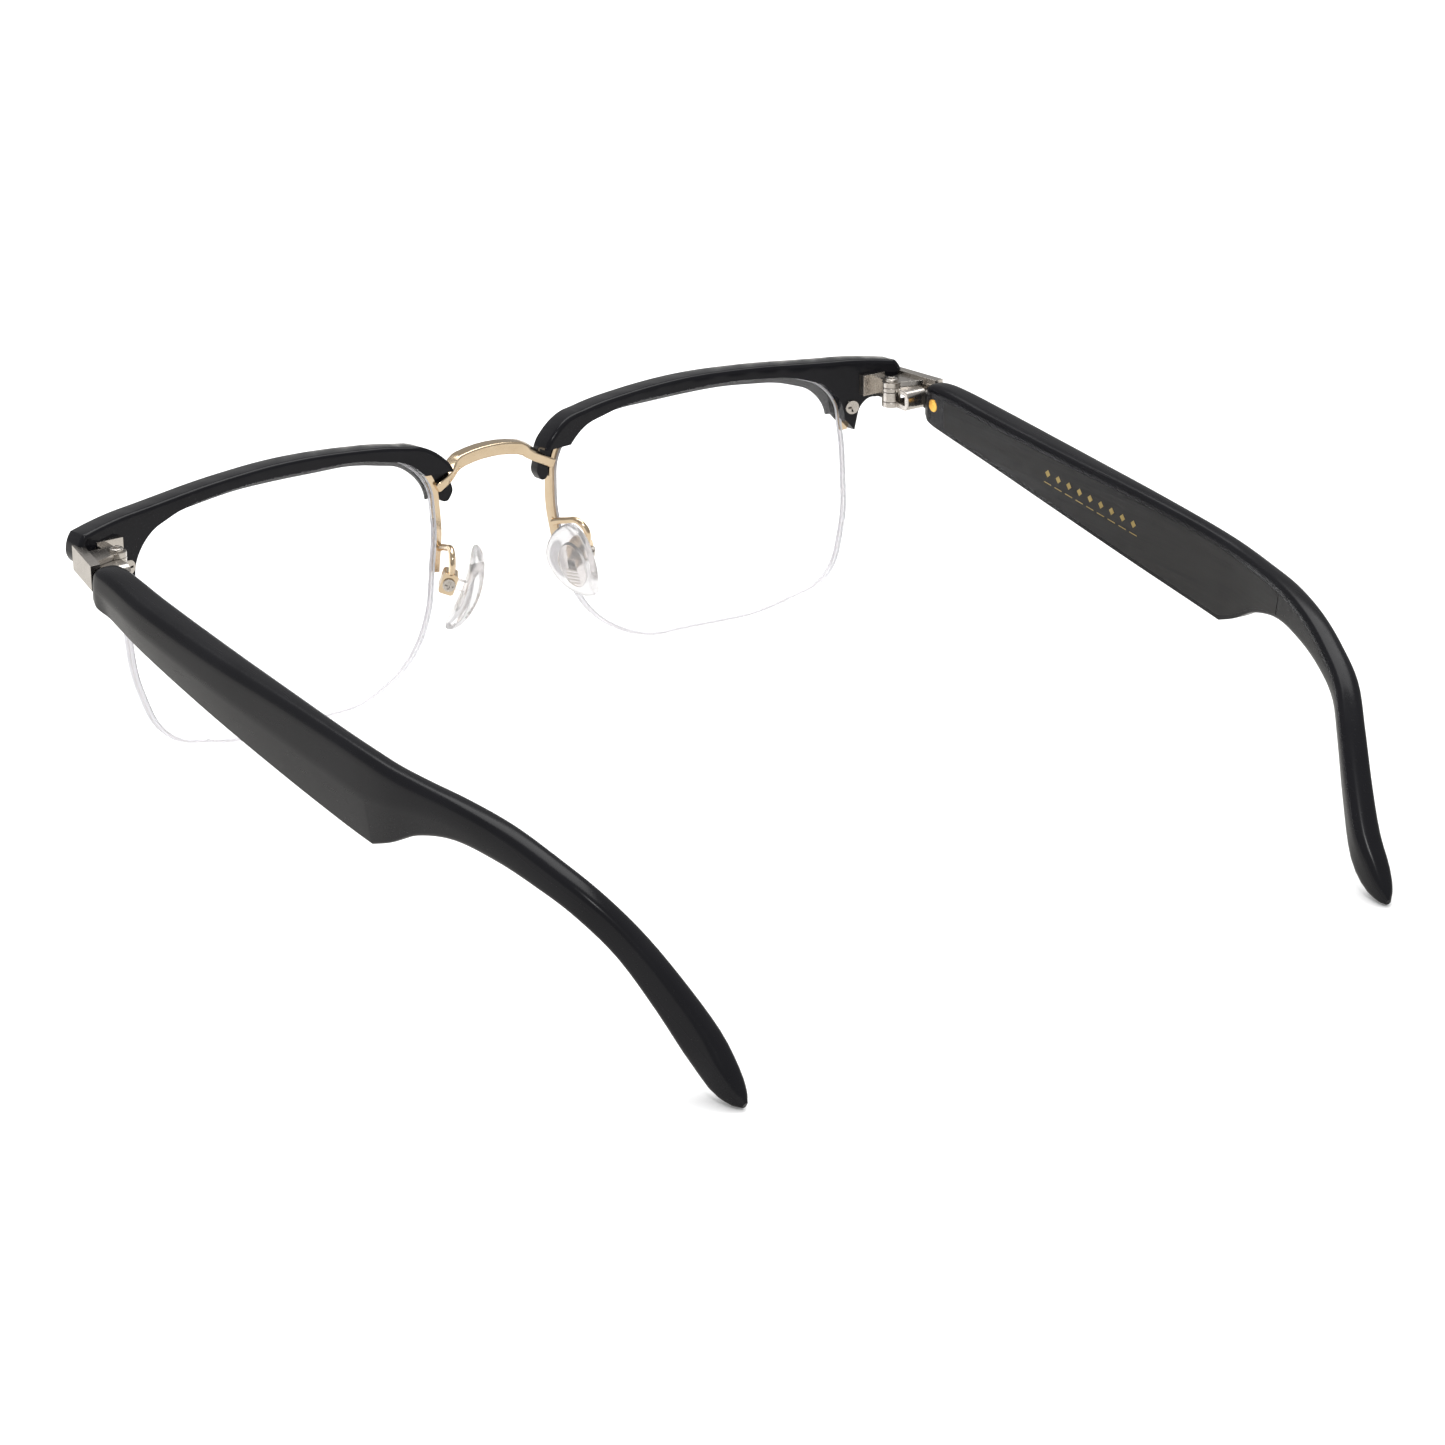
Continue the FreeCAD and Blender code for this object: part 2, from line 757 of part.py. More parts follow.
def make_inlay(body):
    """Return the matt panel let into the temple's inner face."""
    start = temple_front + inlay_start
    end = temple_front + inlay_end
    steps = [start, start + 12, start + 28, start + 44, start + 58]
    steps += [end - 18, end - 14, end - 10, end - 5, end]
    top = [Vector(0, y, temple_edge(y, 1) - inlay_top_margin) for y in steps]
    bottom = [Vector(0, y, temple_edge(y, -1) + inlay_bottom_margin) for y in reversed(steps)]
    corners = top + bottom
    face = Part.Face(Part.makePolygon(corners + [corners[0]]))
    face.translate(Vector(inner_x - 8, 0, 0))
    block = face.extrude(Vector(12, 0, 0))
    deeper = body.copy()
    deeper.translate(Vector(inlay_thickness, 0, 0))
    return block.common(body).cut(deeper)


def core_points():
    """Return the core wire's route from the tongue to the ear bend."""
    beside_inlay = Vector(inlay_thickness / 3, 0, 0)
    points = [Vector(inner_x + 1.5, temple_front + tongue_length - 1.0, temple_front_height)]
    for station in TEMPLE_STATIONS[3:16]:
        points.append(station_centre(station) + beside_inlay)
    return points


def make_core_wire():
    """Return the steel tongue and the wire that stiffens the temple."""
    tongue_x = hinge_x + leaf_width - tongue_hold
    tongue_bottom = temple_front_height - tongue_height / 2
    tongue = box_between(
        Vector(tongue_x, hinge_y + leaf_length, tongue_bottom),
        Vector(tongue_x + tongue_thickness, temple_front + tongue_length, tongue_bottom + tongue_height),
    )
    return tongue.fuse(tube(core_points(), core_radius)).removeSplitter()


def make_rivet():
    """Return the rivet that pins the tongue inside the temple."""
    place = Vector(inner_x, temple_front + rivet_setback, temple_front_height)
    head = Part.makeCylinder(rivet_radius, rivet_head + rivet_sink, place - X_AXIS * rivet_sink, X_AXIS)
    rim_edges = [edge for edge in head.Edges if edge.BoundBox.XMax < inner_x]
    head = head.makeFillet(rivet_head / 2, rim_edges)
    shank = Part.makeCylinder(rivet_shank_radius, rivet_length, place, X_AXIS)
    return head.fuse(shank).removeSplitter()


# ---------------------------------------------------------------- nose pads
# In a pad's frame X points away from the nose, Y along the pad box's screw and Z up the pad.

pad_rotation = Rotation(Z_AXIS, -pad_splay).multiply(Rotation(Y_AXIS, -pad_frontal_angle))
pad_centre = rim_point(-half_width, 0, 0) + Vector(-pad_inset, pad_setback, -pad_drop)
pad_place = Placement(pad_centre, pad_rotation)


def on_pad(shape):
    """Return a pad piece where it stands on the left side."""
    copy = shape.copy()
    copy.Placement = pad_place.multiply(copy.Placement)
    return copy


def drop_outline(width, height, x):
    """Return a drop-shaped outline, its wider end up, across the pad's X axis."""
    points = [
        Vector(x, 0.02 * width, 0.50 * height),
        Vector(x, -0.34 * width, 0.36 * height),
        Vector(x, -0.50 * width, 0.10 * height),
        Vector(x, -0.36 * width, -0.24 * height),
        Vector(x, -0.10 * width, -0.46 * height),
        Vector(x, 0.16 * width, -0.50 * height),
        Vector(x, 0.40 * width, -0.36 * height),
        Vector(x, 0.50 * width, 0.02 * height),
        Vector(x, 0.36 * width, 0.36 * height),
    ]
    return chain_wire(arc_chain(points, True))


def make_pad_core():
    """Return the pad's stiff insert: a plate and the post that enters the pad box."""
    plate_face = Part.Face(drop_outline(pad_core_width, pad_core_height, -pad_core_thickness / 2))
    plate = plate_face.extrude(Vector(pad_core_thickness, 0, 0))
    post = box_between(
        Vector(0, -post_thickness / 2, -post_width / 2),
        Vector(pad_axis_offset, post_thickness / 2, post_width / 2),
    )
    eye_start = Vector(pad_axis_offset, -post_thickness / 2, 0)
    eye = Part.makeCylinder(post_width / 2, post_thickness, eye_start, Y_AXIS)
    bore = Part.makeCylinder(
        pad_screw_radius + hinge_running_fit,
        post_thickness + 2,
        Vector(pad_axis_offset, -post_thickness / 2 - 1, 0),
        Y_AXIS,
    )
    return on_pad(plate.fuse(post).fuse(eye).cut(bore).removeSplitter())


def make_pad_cushion():
    """Return the soft pad moulded round its insert."""
    face = Part.Face(drop_outline(pad_width, pad_height, -pad_thickness / 2))
    blank = face.extrude(Vector(pad_thickness, 0, 0))
    rims = [edge for edge in blank.Edges if edge.BoundBox.XLength < 0.01]
    cushion = on_pad(blank.makeFillet(pad_rounding, rims))
    return cushion.cut(make_pad_core())


def pad_box_near():
    """Return the distance from the pad to the near face of its box."""
    return pad_axis_offset + post_width / 2 + slot_clearance + box_back_wall - box_depth


def pad_box_block():
    """Return the pad box before it is hollowed."""
    near = pad_box_near()
    block = box_between(
        Vector(near, -box_length / 2, -box_height / 2),
        Vector(near + box_depth, box_length / 2, box_height / 2),
    )
    long_edges = [edge for edge in block.Edges if edge.BoundBox.YLength > box_length - 0.01]
    return on_pad(block.makeFillet(box_rounding, long_edges))


def make_pad_box():
    """Return the small metal box that holds the pad's post."""
    slot_half = post_thickness / 2 + slot_clearance
    slot = box_between(
        Vector(pad_box_near() - 1, -slot_half, -box_height / 2 + box_wall),
        Vector(pad_axis_offset + post_width / 2 + slot_clearance, slot_half, box_height / 2 - box_wall),
    )
    bore_start = Vector(pad_axis_offset, -box_length / 2 - 1, 0)
    bore = Part.makeCylinder(pad_screw_radius + screw_fit, box_length + 2, bore_start, Y_AXIS)
    return pad_box_block().cut(on_pad(slot)).cut(on_pad(bore))


def make_pad_screw():
    """Return the pad box's cross-head screw."""
    start = Vector(pad_axis_offset, -box_length / 2 + 0.1, 0)
    shank = Part.makeCylinder(pad_screw_radius, box_length, start, Y_AXIS)
    seat = Vector(pad_axis_offset, box_length / 2, 0)
    head = Part.makeCylinder(pad_screw_head_radius, pad_screw_head_height, seat, Y_AXIS)
    crown = seat + Vector(0, pad_screw_head_height, 0)
    return on_pad(shank.fuse(head).cut(cross_slot(crown, Y_AXIS, pad_screw_head_radius)).removeSplitter())


def make_pad_arm(eyewire):
    """Return the wire that carries the pad box from the eyewire."""
    box_top = pad_place.multVec(Vector(pad_axis_offset + 0.1, 0.5, box_height / 2 - arm_radius))
    start = rim_point(-half_width - lens_seat_gap - eyewire_width / 2, 2.5, eyewire_depth / 2 - 0.1)
    reach = box_top - start
    points = [
        start,
        start + Vector(0.25 * reach.x, 0.42 * reach.y, 0.9),
        start + Vector(0.75 * reach.x, 0.95 * reach.y, 1.25),
        box_top + Vector(0.1, 0.75, 2.2),
        box_top,
    ]
    return tube(points, arm_radius).cut(eyewire).cut(pad_box_block())


# ---------------------------------------------------------------- bridge


def make_bridge():
    """Return the bridge: an arched span whose ends fold back to feet on both eyewires."""
    span_half = lens_spacing / 2 - bridge_span_inset
    front_y = rim_point(-half_width - 2, half_height - 4, -brow_front).y - 0.1
    span_top = rim_point(-half_width - 2, half_height - 2.8, 0).z + 0.3
    low_end = span_top - bridge_arch
    rise = [
        Vector(-span_half, front_y, low_end),
        Vector(0, front_y, span_top),
        Vector(span_half, front_y, low_end),
    ]
    upper = Part.Arc(*rise).toShape()
    drop = Vector(0, 0, -bridge_height)
    lower = Part.Arc(*[point + drop for point in rise]).toShape()
    left_end = Part.LineSegment(rise[0], rise[0] + drop).toShape()
    right_end = Part.LineSegment(rise[2], rise[2] + drop).toShape()
    outline = Part.Wire(Part.__sortEdges__([upper, right_end, lower, left_end]))
    bridge = Part.Face(outline).extrude(Vector(0, bridge_depth, 0))
    for side in (1, -1):
        for piece in bridge_end(side, span_half, front_y, low_end):
            bridge = bridge.fuse(piece)
    return bridge.removeSplitter()


def bridge_end(side, span_half, front_y, top):
    """Return the fold and the foot at one end of the bridge."""
    back = rim_point(-half_width - 0.5, half_height - 6.5, eyewire_depth / 2)
    foot_front = back.y + 0.02
    foot_back = foot_front + bridge_foot_thickness
    fold_x = span_half - 0.6
    fold = box_between(
        Vector(fold_x, front_y, top - bridge_height - 0.4),
        Vector(fold_x + bridge_fold_width, foot_back, top + 0.02),
    )
    foot_start = span_half - 0.3
    foot_end = back.x + 0.15
    foot_top = top - bridge_foot_drop
    foot_fall = bridge_foot_slope * (foot_end - foot_start)
    corners = [
        Vector(foot_start, foot_front, foot_top),
        Vector(foot_end, foot_front, foot_top - foot_fall),
        Vector(foot_end, foot_front, foot_top - foot_fall - bridge_foot_height),
        Vector(foot_start, foot_front, foot_top - bridge_foot_height),
    ]
    strip_face = Part.Face(Part.makePolygon(corners + [corners[0]]))
    strip = strip_face.extrude(Vector(0, bridge_foot_thickness, 0))
    pieces = [fold, strip]
    if side < 0:
        pieces = [mirrored(piece) for piece in pieces]
    return pieces


def mirrored(shape):
    """Return the mirror image across the middle plane."""
    return shape.mirror(Vector(0, 0, 0), X_AXIS)


# ---------------------------------------------------------------- assembly


def left_pieces(bridge, eyewire):
    """Return every piece of the left side by name."""
    endpiece = make_endpiece()
    body = make_temple_body()
    inlay = make_inlay(body)
    core = make_core_wire()
    rivet = make_rivet()
    return {
        "brow_bar": placed(make_brow()).cut(endpiece).cut(bridge),
        "eyewire": eyewire,
        "lens": placed(make_lens()),
        "lens_cord": placed(make_lens_cord()),
        "lens_liner": placed(make_liner()),
        "brow_screw": placed(make_brow_screw()),
        "endpiece": endpiece,
        "hinge_screw": make_hinge_screw(),
        "hinge_leaf": make_hinge_leaf(),
        "core_wire": core.cut(rivet),
        "temple_rivet": rivet,
        "temple_inlay": inlay,
        "temple": body.cut(inlay).cut(core).cut(rivet),
        "pad_arm": make_pad_arm(eyewire),
        "pad_box": make_pad_box(),
        "pad_screw": make_pad_screw(),
        "pad_core": make_pad_core(),
        "nose_pad": make_pad_cushion(),
    }


left_eyewire = placed(make_eyewire())
nodes = {"bridge": make_bridge().cut(left_eyewire).cut(mirrored(left_eyewire))}
for name, shape in left_pieces(nodes["bridge"], left_eyewire).items():
    nodes["left_" + name] = shape
    nodes["right_" + name] = mirrored(shape)

whole = Part.makeCompound(list(nodes.values())).optimalBoundingBox()
to_origin = Vector(0, -(whole.YMin + whole.YMax) / 2, 0)

for name, shape in nodes.items():
    shape.translate(to_origin)
    shape.exportStep("parts/" + name + ".step")
    print(name, "valid", shape.isValid(), "solids", len(shape.Solids), "volume", round(shape.Volume, 2))

print("size", round(whole.XLength, 2), round(whole.YLength, 2), round(whole.ZLength, 2))
print("floor", round(whole.ZMin, 3))
print("hinge axis", hinge_axis + to_origin)
print("pad axis point", pad_place.multVec(Vector(pad_axis_offset, 0, 0)) + to_origin)
print("pad axis direction", pad_rotation.multVec(Y_AXIS))
print("shift", to_origin)
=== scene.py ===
import json
import math

import bmesh
import bpy
from mathutils import Matrix, Vector


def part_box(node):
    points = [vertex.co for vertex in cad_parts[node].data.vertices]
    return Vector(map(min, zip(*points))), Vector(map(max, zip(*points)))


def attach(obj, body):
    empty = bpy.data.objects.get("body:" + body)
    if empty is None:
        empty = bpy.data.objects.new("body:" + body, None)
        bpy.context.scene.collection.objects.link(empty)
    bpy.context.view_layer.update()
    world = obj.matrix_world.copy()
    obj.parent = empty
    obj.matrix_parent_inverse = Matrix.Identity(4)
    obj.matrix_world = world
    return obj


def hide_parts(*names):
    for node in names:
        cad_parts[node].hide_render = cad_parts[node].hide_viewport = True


# Half rim eyeglasses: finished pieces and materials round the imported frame, in metres.
# +X is the wearer's left, the front faces -Y and +Z is up.

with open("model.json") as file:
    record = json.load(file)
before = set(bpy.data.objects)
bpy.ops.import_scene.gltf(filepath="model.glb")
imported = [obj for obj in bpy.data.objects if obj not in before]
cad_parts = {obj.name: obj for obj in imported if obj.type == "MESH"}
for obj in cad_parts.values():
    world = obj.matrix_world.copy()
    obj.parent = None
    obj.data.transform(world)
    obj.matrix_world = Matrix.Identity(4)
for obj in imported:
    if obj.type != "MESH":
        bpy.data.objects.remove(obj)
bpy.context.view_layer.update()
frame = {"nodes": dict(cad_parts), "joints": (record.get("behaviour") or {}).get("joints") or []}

MM = 0.001
Y_AXIS = Vector((0, 1, 0))
Z_AXIS = Vector((0, 0, 1))
SIDES = (("left", 1), ("right", -1))


def joint_place(name):
    """Return the place of one of the frame's joints, in metres."""
    found = next(joint for joint in frame["joints"] if joint["name"] == name)
    return Vector(found["pos_m"])


# ------------------------------------------------------------------ shader groups


def new_group(name, inputs, outputs):
    """Make a shader node group with float inputs and the outputs named."""
    group = bpy.data.node_groups.new(name, "ShaderNodeTree")
    for label, value in inputs:
        socket = group.interface.new_socket(label, in_out="INPUT", socket_type="NodeSocketFloat")
        socket.default_value = value
    for label in outputs:
        group.interface.new_socket(label, in_out="OUTPUT", socket_type="NodeSocketFloat")
    entry = group.nodes.new("NodeGroupInput")
    result = group.nodes.new("NodeGroupOutput")
    return group, entry, result


def group_math(group, operation, first, second):
    """Add a maths node to a group, each operand a socket or a number."""
    node = group.nodes.new("ShaderNodeMath")
    node.operation = operation
    for socket, value in zip(node.inputs, (first, second)):
        if isinstance(value, (int, float)):
            socket.default_value = value
        else:
            group.links.new(value, socket)
    return node.outputs[0]


def group_noise(group, vector, scale, detail):
    """Add a noise texture to a group."""
    node = group.nodes.new("ShaderNodeTexNoise")
    node.inputs["Detail"].default_value = detail
    group.links.new(vector, node.inputs["Vector"])
    if isinstance(scale, (int, float)):
        node.inputs["Scale"].default_value = scale
    else:
        group.links.new(scale, node.inputs["Scale"])
    return node.outputs["Fac"]


def object_place(group):
    """Add the object coordinates to a group."""
    return group.nodes.new("ShaderNodeTexCoord").outputs["Object"]


def stretched_place(group, stretch):
    """Add object coordinates that are stretched along each axis."""
    mapping = group.nodes.new("ShaderNodeMapping")
    mapping.inputs["Scale"].default_value = stretch
    group.links.new(object_place(group), mapping.inputs["Vector"])
    return mapping.outputs["Vector"]


SCRATCH_THRESHOLD = 0.66
SCRATCH_DEPTH = 0.3
SCRATCH_STRETCH = (3000, 120, 2200)
FINE_GRAIN_STRETCH = (900, 55, 3800)
BROAD_GRAIN_STRETCH = (300, 22, 700)
BROAD_GRAIN_SHARE = 0.8
GRAIN_MIDDLE = 0.82
GRAIN_SPREAD = 3.0


def make_handling_group():
    """Roughness with soft smudges and fine hairline scratches, and a height for both."""
    inputs = [("Roughness", 0.15), ("Smudge Size", 250.0), ("Smudge", 0.08), ("Scratch", 0.05)]
    group, entry, result = new_group("handling_marks", inputs, ["Roughness", "Height"])
    place = object_place(group)
    smudge = group_noise(group, place, entry.outputs["Smudge Size"], 4.0)
    scratch = group_noise(group, stretched_place(group, SCRATCH_STRETCH), 1.0, 2.0)
    peak = group_math(group, "GREATER_THAN", scratch, SCRATCH_THRESHOLD)
    smudge_part = group_math(group, "MULTIPLY", smudge, entry.outputs["Smudge"])
    scratch_part = group_math(group, "MULTIPLY", peak, entry.outputs["Scratch"])
    marks = group_math(group, "ADD", smudge_part, scratch_part)
    total = group_math(group, "ADD", entry.outputs["Roughness"], marks)
    scratch_depth = group_math(group, "MULTIPLY", peak, SCRATCH_DEPTH)
    height = group_math(group, "SUBTRACT", smudge, scratch_depth)
    group.links.new(total, result.inputs["Roughness"])
    group.links.new(height, result.inputs["Height"])
    return group


def make_grain_group():
    """Fine lengthwise grain: a mask that is 1 in the pale streaks, and a height."""
    inputs = [("Streak Contrast", 1.0)]
    group, entry, result = new_group("lengthwise_grain", inputs, ["Mask", "Height"])
    fine = group_noise(group, stretched_place(group, FINE_GRAIN_STRETCH), 1.0, 5.0)
    broad = group_noise(group, stretched_place(group, BROAD_GRAIN_STRETCH), 1.0, 3.0)
    both = group_math(group, "ADD", fine, group_math(group, "MULTIPLY", broad, BROAD_GRAIN_SHARE))
    centred = group_math(group, "SUBTRACT", both, GRAIN_MIDDLE)
    spread = group_math(group, "MULTIPLY", centred, entry.outputs["Streak Contrast"])
    shifted = group_math(group, "ADD", group_math(group, "MULTIPLY", spread, GRAIN_SPREAD), 0.5)
    not_below_zero = group_math(group, "MAXIMUM", shifted, 0.0)
    mask = group_math(group, "MINIMUM", not_below_zero, 1.0)
    group.links.new(mask, result.inputs["Mask"])
    group.links.new(fine, result.inputs["Height"])
    return group


HANDLING = make_handling_group()
GRAIN = make_grain_group()


# ------------------------------------------------------------------ materials


def new_material(name):
    """Make a material with one Principled shader and return it, its tree and the shader."""
    material = bpy.data.materials.new(name)
    material.use_nodes = True
    tree = material.node_tree
    return material, tree, tree.nodes["Principled BSDF"]


def add_group(tree, group, values):
    """Place a node group in a material with its own values."""
    node = tree.nodes.new("ShaderNodeGroup")
    node.node_tree = group
    for label, value in values.items():
        node.inputs[label].default_value = value
    return node


def add_bump(tree, shader, height, distance, strength):
    """Feed a height through a bump node to a shader's normal."""
    bump = tree.nodes.new("ShaderNodeBump")
    bump.inputs["Distance"].default_value = distance
    bump.inputs["Strength"].default_value = strength
    tree.links.new(height, bump.inputs["Height"])
    tree.links.new(bump.outputs["Normal"], shader.inputs["Normal"])


def add_tint(tree, shader, mask, low, high):
    """Colour a shader between two tints by a mask."""
    mix = tree.nodes.new("ShaderNodeMix")
    mix.data_type = "RGBA"
    mix.inputs["A"].default_value = (*low, 1)
    mix.inputs["B"].default_value = (*high, 1)
    tree.links.new(mask, mix.inputs["Factor"])
    tree.links.new(mix.outputs["Result"], shader.inputs["Base Color"])


def noise_mask(tree, scale, detail=3.0):
    """Add a noise texture on object coordinates to a material."""
    place = tree.nodes.new("ShaderNodeTexCoord")
    noise = tree.nodes.new("ShaderNodeTexNoise")
    noise.inputs["Scale"].default_value = scale
    noise.inputs["Detail"].default_value = detail
    tree.links.new(place.outputs["Object"], noise.inputs["Vector"])
    return noise.outputs["Fac"]


def make_gloss_black(name, roughness, smudge, scratch):
    """Polished black acetate with faint smudges and hairline scratches."""
    material, tree, shader = new_material(name)
    marks = add_group(tree, HANDLING, {"Roughness": roughness, "Smudge": smudge, "Scratch": scratch})
    add_tint(tree, shader, noise_mask(tree, 90.0), (0.004, 0.004, 0.005), (0.009, 0.009, 0.011))
    tree.links.new(marks.outputs["Roughness"], shader.inputs["Roughness"])
    shader.inputs["IOR"].default_value = 1.47
    shader.inputs["Specular IOR Level"].default_value = 0.22
    add_bump(tree, shader, marks.outputs["Height"], 0.00001, 0.25)
    return material


def make_grained_black():
    """Matt black panel with a fine lengthwise grain."""
    material, tree, shader = new_material("grained_black_panel")
    grain = add_group(tree, GRAIN, {"Streak Contrast": 1.0})
    add_tint(tree, shader, grain.outputs["Mask"], (0.006, 0.006, 0.007), (0.019, 0.018, 0.018))
    rough = tree.nodes.new("ShaderNodeMapRange")
    rough.inputs["To Min"].default_value = 0.36
    rough.inputs["To Max"].default_value = 0.52
    tree.links.new(grain.outputs["Mask"], rough.inputs["Value"])
    tree.links.new(rough.outputs["Result"], shader.inputs["Roughness"])
    shader.inputs["IOR"].default_value = 1.45
    shader.inputs["Specular IOR Level"].default_value = 0.30
    add_bump(tree, shader, grain.outputs["Height"], 0.00003, 0.5)
    return material


def make_metal(name, low, high, roughness, pit_scale, pit_depth):
    """A metal with a slight colour change, smudges and fine pitting."""
    material, tree, shader = new_material(name)
    values = {"Roughness": roughness, "Smudge Size": 600.0, "Smudge": 0.10, "Scratch": 0.06}
    marks = add_group(tree, HANDLING, values)
    add_tint(tree, shader, noise_mask(tree, 700.0), low, high)
    tree.links.new(marks.outputs["Roughness"], shader.inputs["Roughness"])
    shader.inputs["Metallic"].default_value = 1.0
    add_bump(tree, shader, noise_mask(tree, pit_scale, 5.0), pit_depth, 0.5)
    return material


def let_lamps_through(material, tree, shader):
    """Let lamp light pass through a clear material, as thin clear pieces do."""
    clear = tree.nodes.new("ShaderNodeBsdfTransparent")
    path = tree.nodes.new("ShaderNodeLightPath")
    mix = tree.nodes.new("ShaderNodeMixShader")
    output = tree.nodes["Material Output"]
    tree.links.new(path.outputs["Is Shadow Ray"], mix.inputs["Fac"])
    tree.links.new(shader.outputs["BSDF"], mix.inputs[1])
    tree.links.new(clear.outputs["BSDF"], mix.inputs[2])
    tree.links.new(mix.outputs["Shader"], output.inputs["Surface"])
    return material


def make_clear(name, tint_low, tint_high, roughness, ior, smudge, clarity=1.0):
    """A clear or milky material: lens, nylon or silicone."""
    material, tree, shader = new_material(name)
    values = {"Roughness": roughness, "Smudge Size": 180.0, "Smudge": smudge, "Scratch": 0.0}
    marks = add_group(tree, HANDLING, values)
    add_tint(tree, shader, noise_mask(tree, 160.0), tint_low, tint_high)
    tree.links.new(marks.outputs["Roughness"], shader.inputs["Roughness"])
    shader.inputs["Transmission Weight"].default_value = clarity
    shader.inputs["IOR"].default_value = ior
    return let_lamps_through(material, tree, shader)


BLACK = make_gloss_black("polished_black_acetate", 0.10, 0.10, 0.06)
TEMPLE_BLACK = make_gloss_black("polished_temple_acetate", 0.16, 0.14, 0.06)
PANEL = make_grained_black()
GOLD = make_metal("champagne_gold", (0.78, 0.60, 0.40), (0.88, 0.72, 0.52), 0.12, 1800.0, 0.00001)
RIVET_GOLD = make_metal("orange_gold_rivet", (0.85, 0.42, 0.06), (1.0, 0.62, 0.16), 0.22, 2600.0, 0.00006)
NICKEL = make_metal("satin_nickel", (0.52, 0.48, 0.44), (0.74, 0.70, 0.65), 0.20, 3200.0, 0.00002)
DARK_STEEL = make_metal("dark_tongue_steel", (0.03, 0.03, 0.03), (0.09, 0.085, 0.08), 0.30, 2500.0, 0.00002)
PRINT_GOLD = make_metal("printed_gold", (0.30, 0.22, 0.08), (0.48, 0.37, 0.15), 0.38, 3000.0, 0.00002)
LENS = make_clear("clear_lens", (0.985, 0.985, 0.99), (0.995, 0.995, 1.0), 0.0, 1.50, 0.01)
GROUND_EDGE = make_clear("ground_lens_edge", (0.74, 0.73, 0.76), (0.84, 0.83, 0.86), 0.55, 1.50, 0.10, 0.35)
NYLON = make_clear("clear_nylon", (0.76, 0.74, 0.75), (0.88, 0.86, 0.87), 0.25, 1.50, 0.10, 0.5)
SILICONE = make_clear("clear_silicone", (0.72, 0.71, 0.71), (0.83, 0.82, 0.82), 0.08, 1.38, 0.10, 0.84)
INSERT = make_clear("clear_pad_insert", (0.86, 0.82, 0.80), (0.95, 0.92, 0.90), 0.10, 1.52, 0.08)


# ------------------------------------------------------------------ mesh helpers


def finish_piece(mesh, name, material, body, nodes):
    """Make an object of a mesh, with its material, body and the nodes it stands for."""
    mesh.name = name
    mesh.materials.clear()
    mesh.materials.append(material)
    piece = bpy.data.objects.new(name, mesh)
    bpy.context.scene.collection.objects.link(piece)
    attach(piece, body)
    if nodes:
        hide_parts(*nodes)
    return piece


MERGE_DISTANCE = 2e-6
FLAT_ANGLE = math.radians(0.6)
BEVEL_ANGLE = math.radians(40)
FINE_BEVEL = 0.05 * MM
BROAD_BEVEL = 0.12 * MM
COPY_CREASE = 35
LOFT_CREASE = 32
NO_CREASE = 180


def soften(work, angle):
    """Shade a mesh smooth, with sharp edges where faces meet at more than the angle."""
    for face in work.faces:
        face.smooth = True
    for edge in work.edges:
        edge.smooth = edge.calc_face_angle(0.0) < math.radians(angle)


def polished_copy(node, body, material, bevel=0.0):
    """Replace a CAD node with a merged, smoothly shaded copy, its edges rounded by bevel."""
    mesh = frame["nodes"][node].data.copy()
    work = bmesh.new()
    work.from_mesh(mesh)
    bmesh.ops.remove_doubles(work, verts=work.verts, dist=MERGE_DISTANCE)
    if bevel:
        bmesh.ops.dissolve_limit(work, angle_limit=FLAT_ANGLE, verts=work.verts, edges=work.edges)
    soften(work, COPY_CREASE)
    work.to_mesh(mesh)
    work.free()
    piece = finish_piece(mesh, node + "_piece", material, body, [node])
    if bevel:
        rounding = piece.modifiers.new("edge_rounding", "BEVEL")
        rounding.width = bevel
        rounding.segments = 2
        rounding.limit_method = "ANGLE"
        rounding.angle_limit = BEVEL_ANGLE
        rounding.use_clamp_overlap = True
    return piece


FACE_SQUARENESS = 0.80
EDGE_DISTANCE = 10 * MM


def grind_edge(lens):
    """Give the lens's narrow edge a ground finish and leave its two faces clear."""
    lens.data.materials.append(GROUND_EDGE)
    middle = sum((vert.co for vert in lens.data.vertices), Vector()) / len(lens.data.vertices)
    for face in lens.data.polygons:
        across = abs(face.normal.y) < FACE_SQUARENESS
        away = (face.center - middle).length > EDGE_DISTANCE
        if across and away:
            face.material_index = 1


def rounded_ring(corners, reaches, steps):
    """Return the points of a closed outline whose corners are rounded over their reaches."""
    points = []
    count = len(corners)
    for index, here in enumerate(corners):
        before = corners[index - 1] - here
        after = corners[(index + 1) % count] - here
        start = here + before.normalized() * min(reaches[index], before.length * 0.48)
        end = here + after.normalized() * min(reaches[index], after.length * 0.48)
        for step in range(steps):
            t = step / (steps - 1)
            points.append(start * (1 - t) ** 2 + here * (2 * t * (1 - t)) + end * t * t)
    return points


def stand_section(section, centre, outward, upward):
    """Return a flat section's points stood in space at a centre, in metres."""
    return [(centre + outward * point.x + upward * point.y) * MM for point in section]


def join_rows(work, rows):
    """Fill the bands between rows of vertices that close on themselves."""
    count = len(rows[0])
    for low, high in zip(rows, rows[1:]):
        for index in range(count):
            following = (index + 1) % count
            work.faces.new((low[index], low[following], high[following], high[index]))


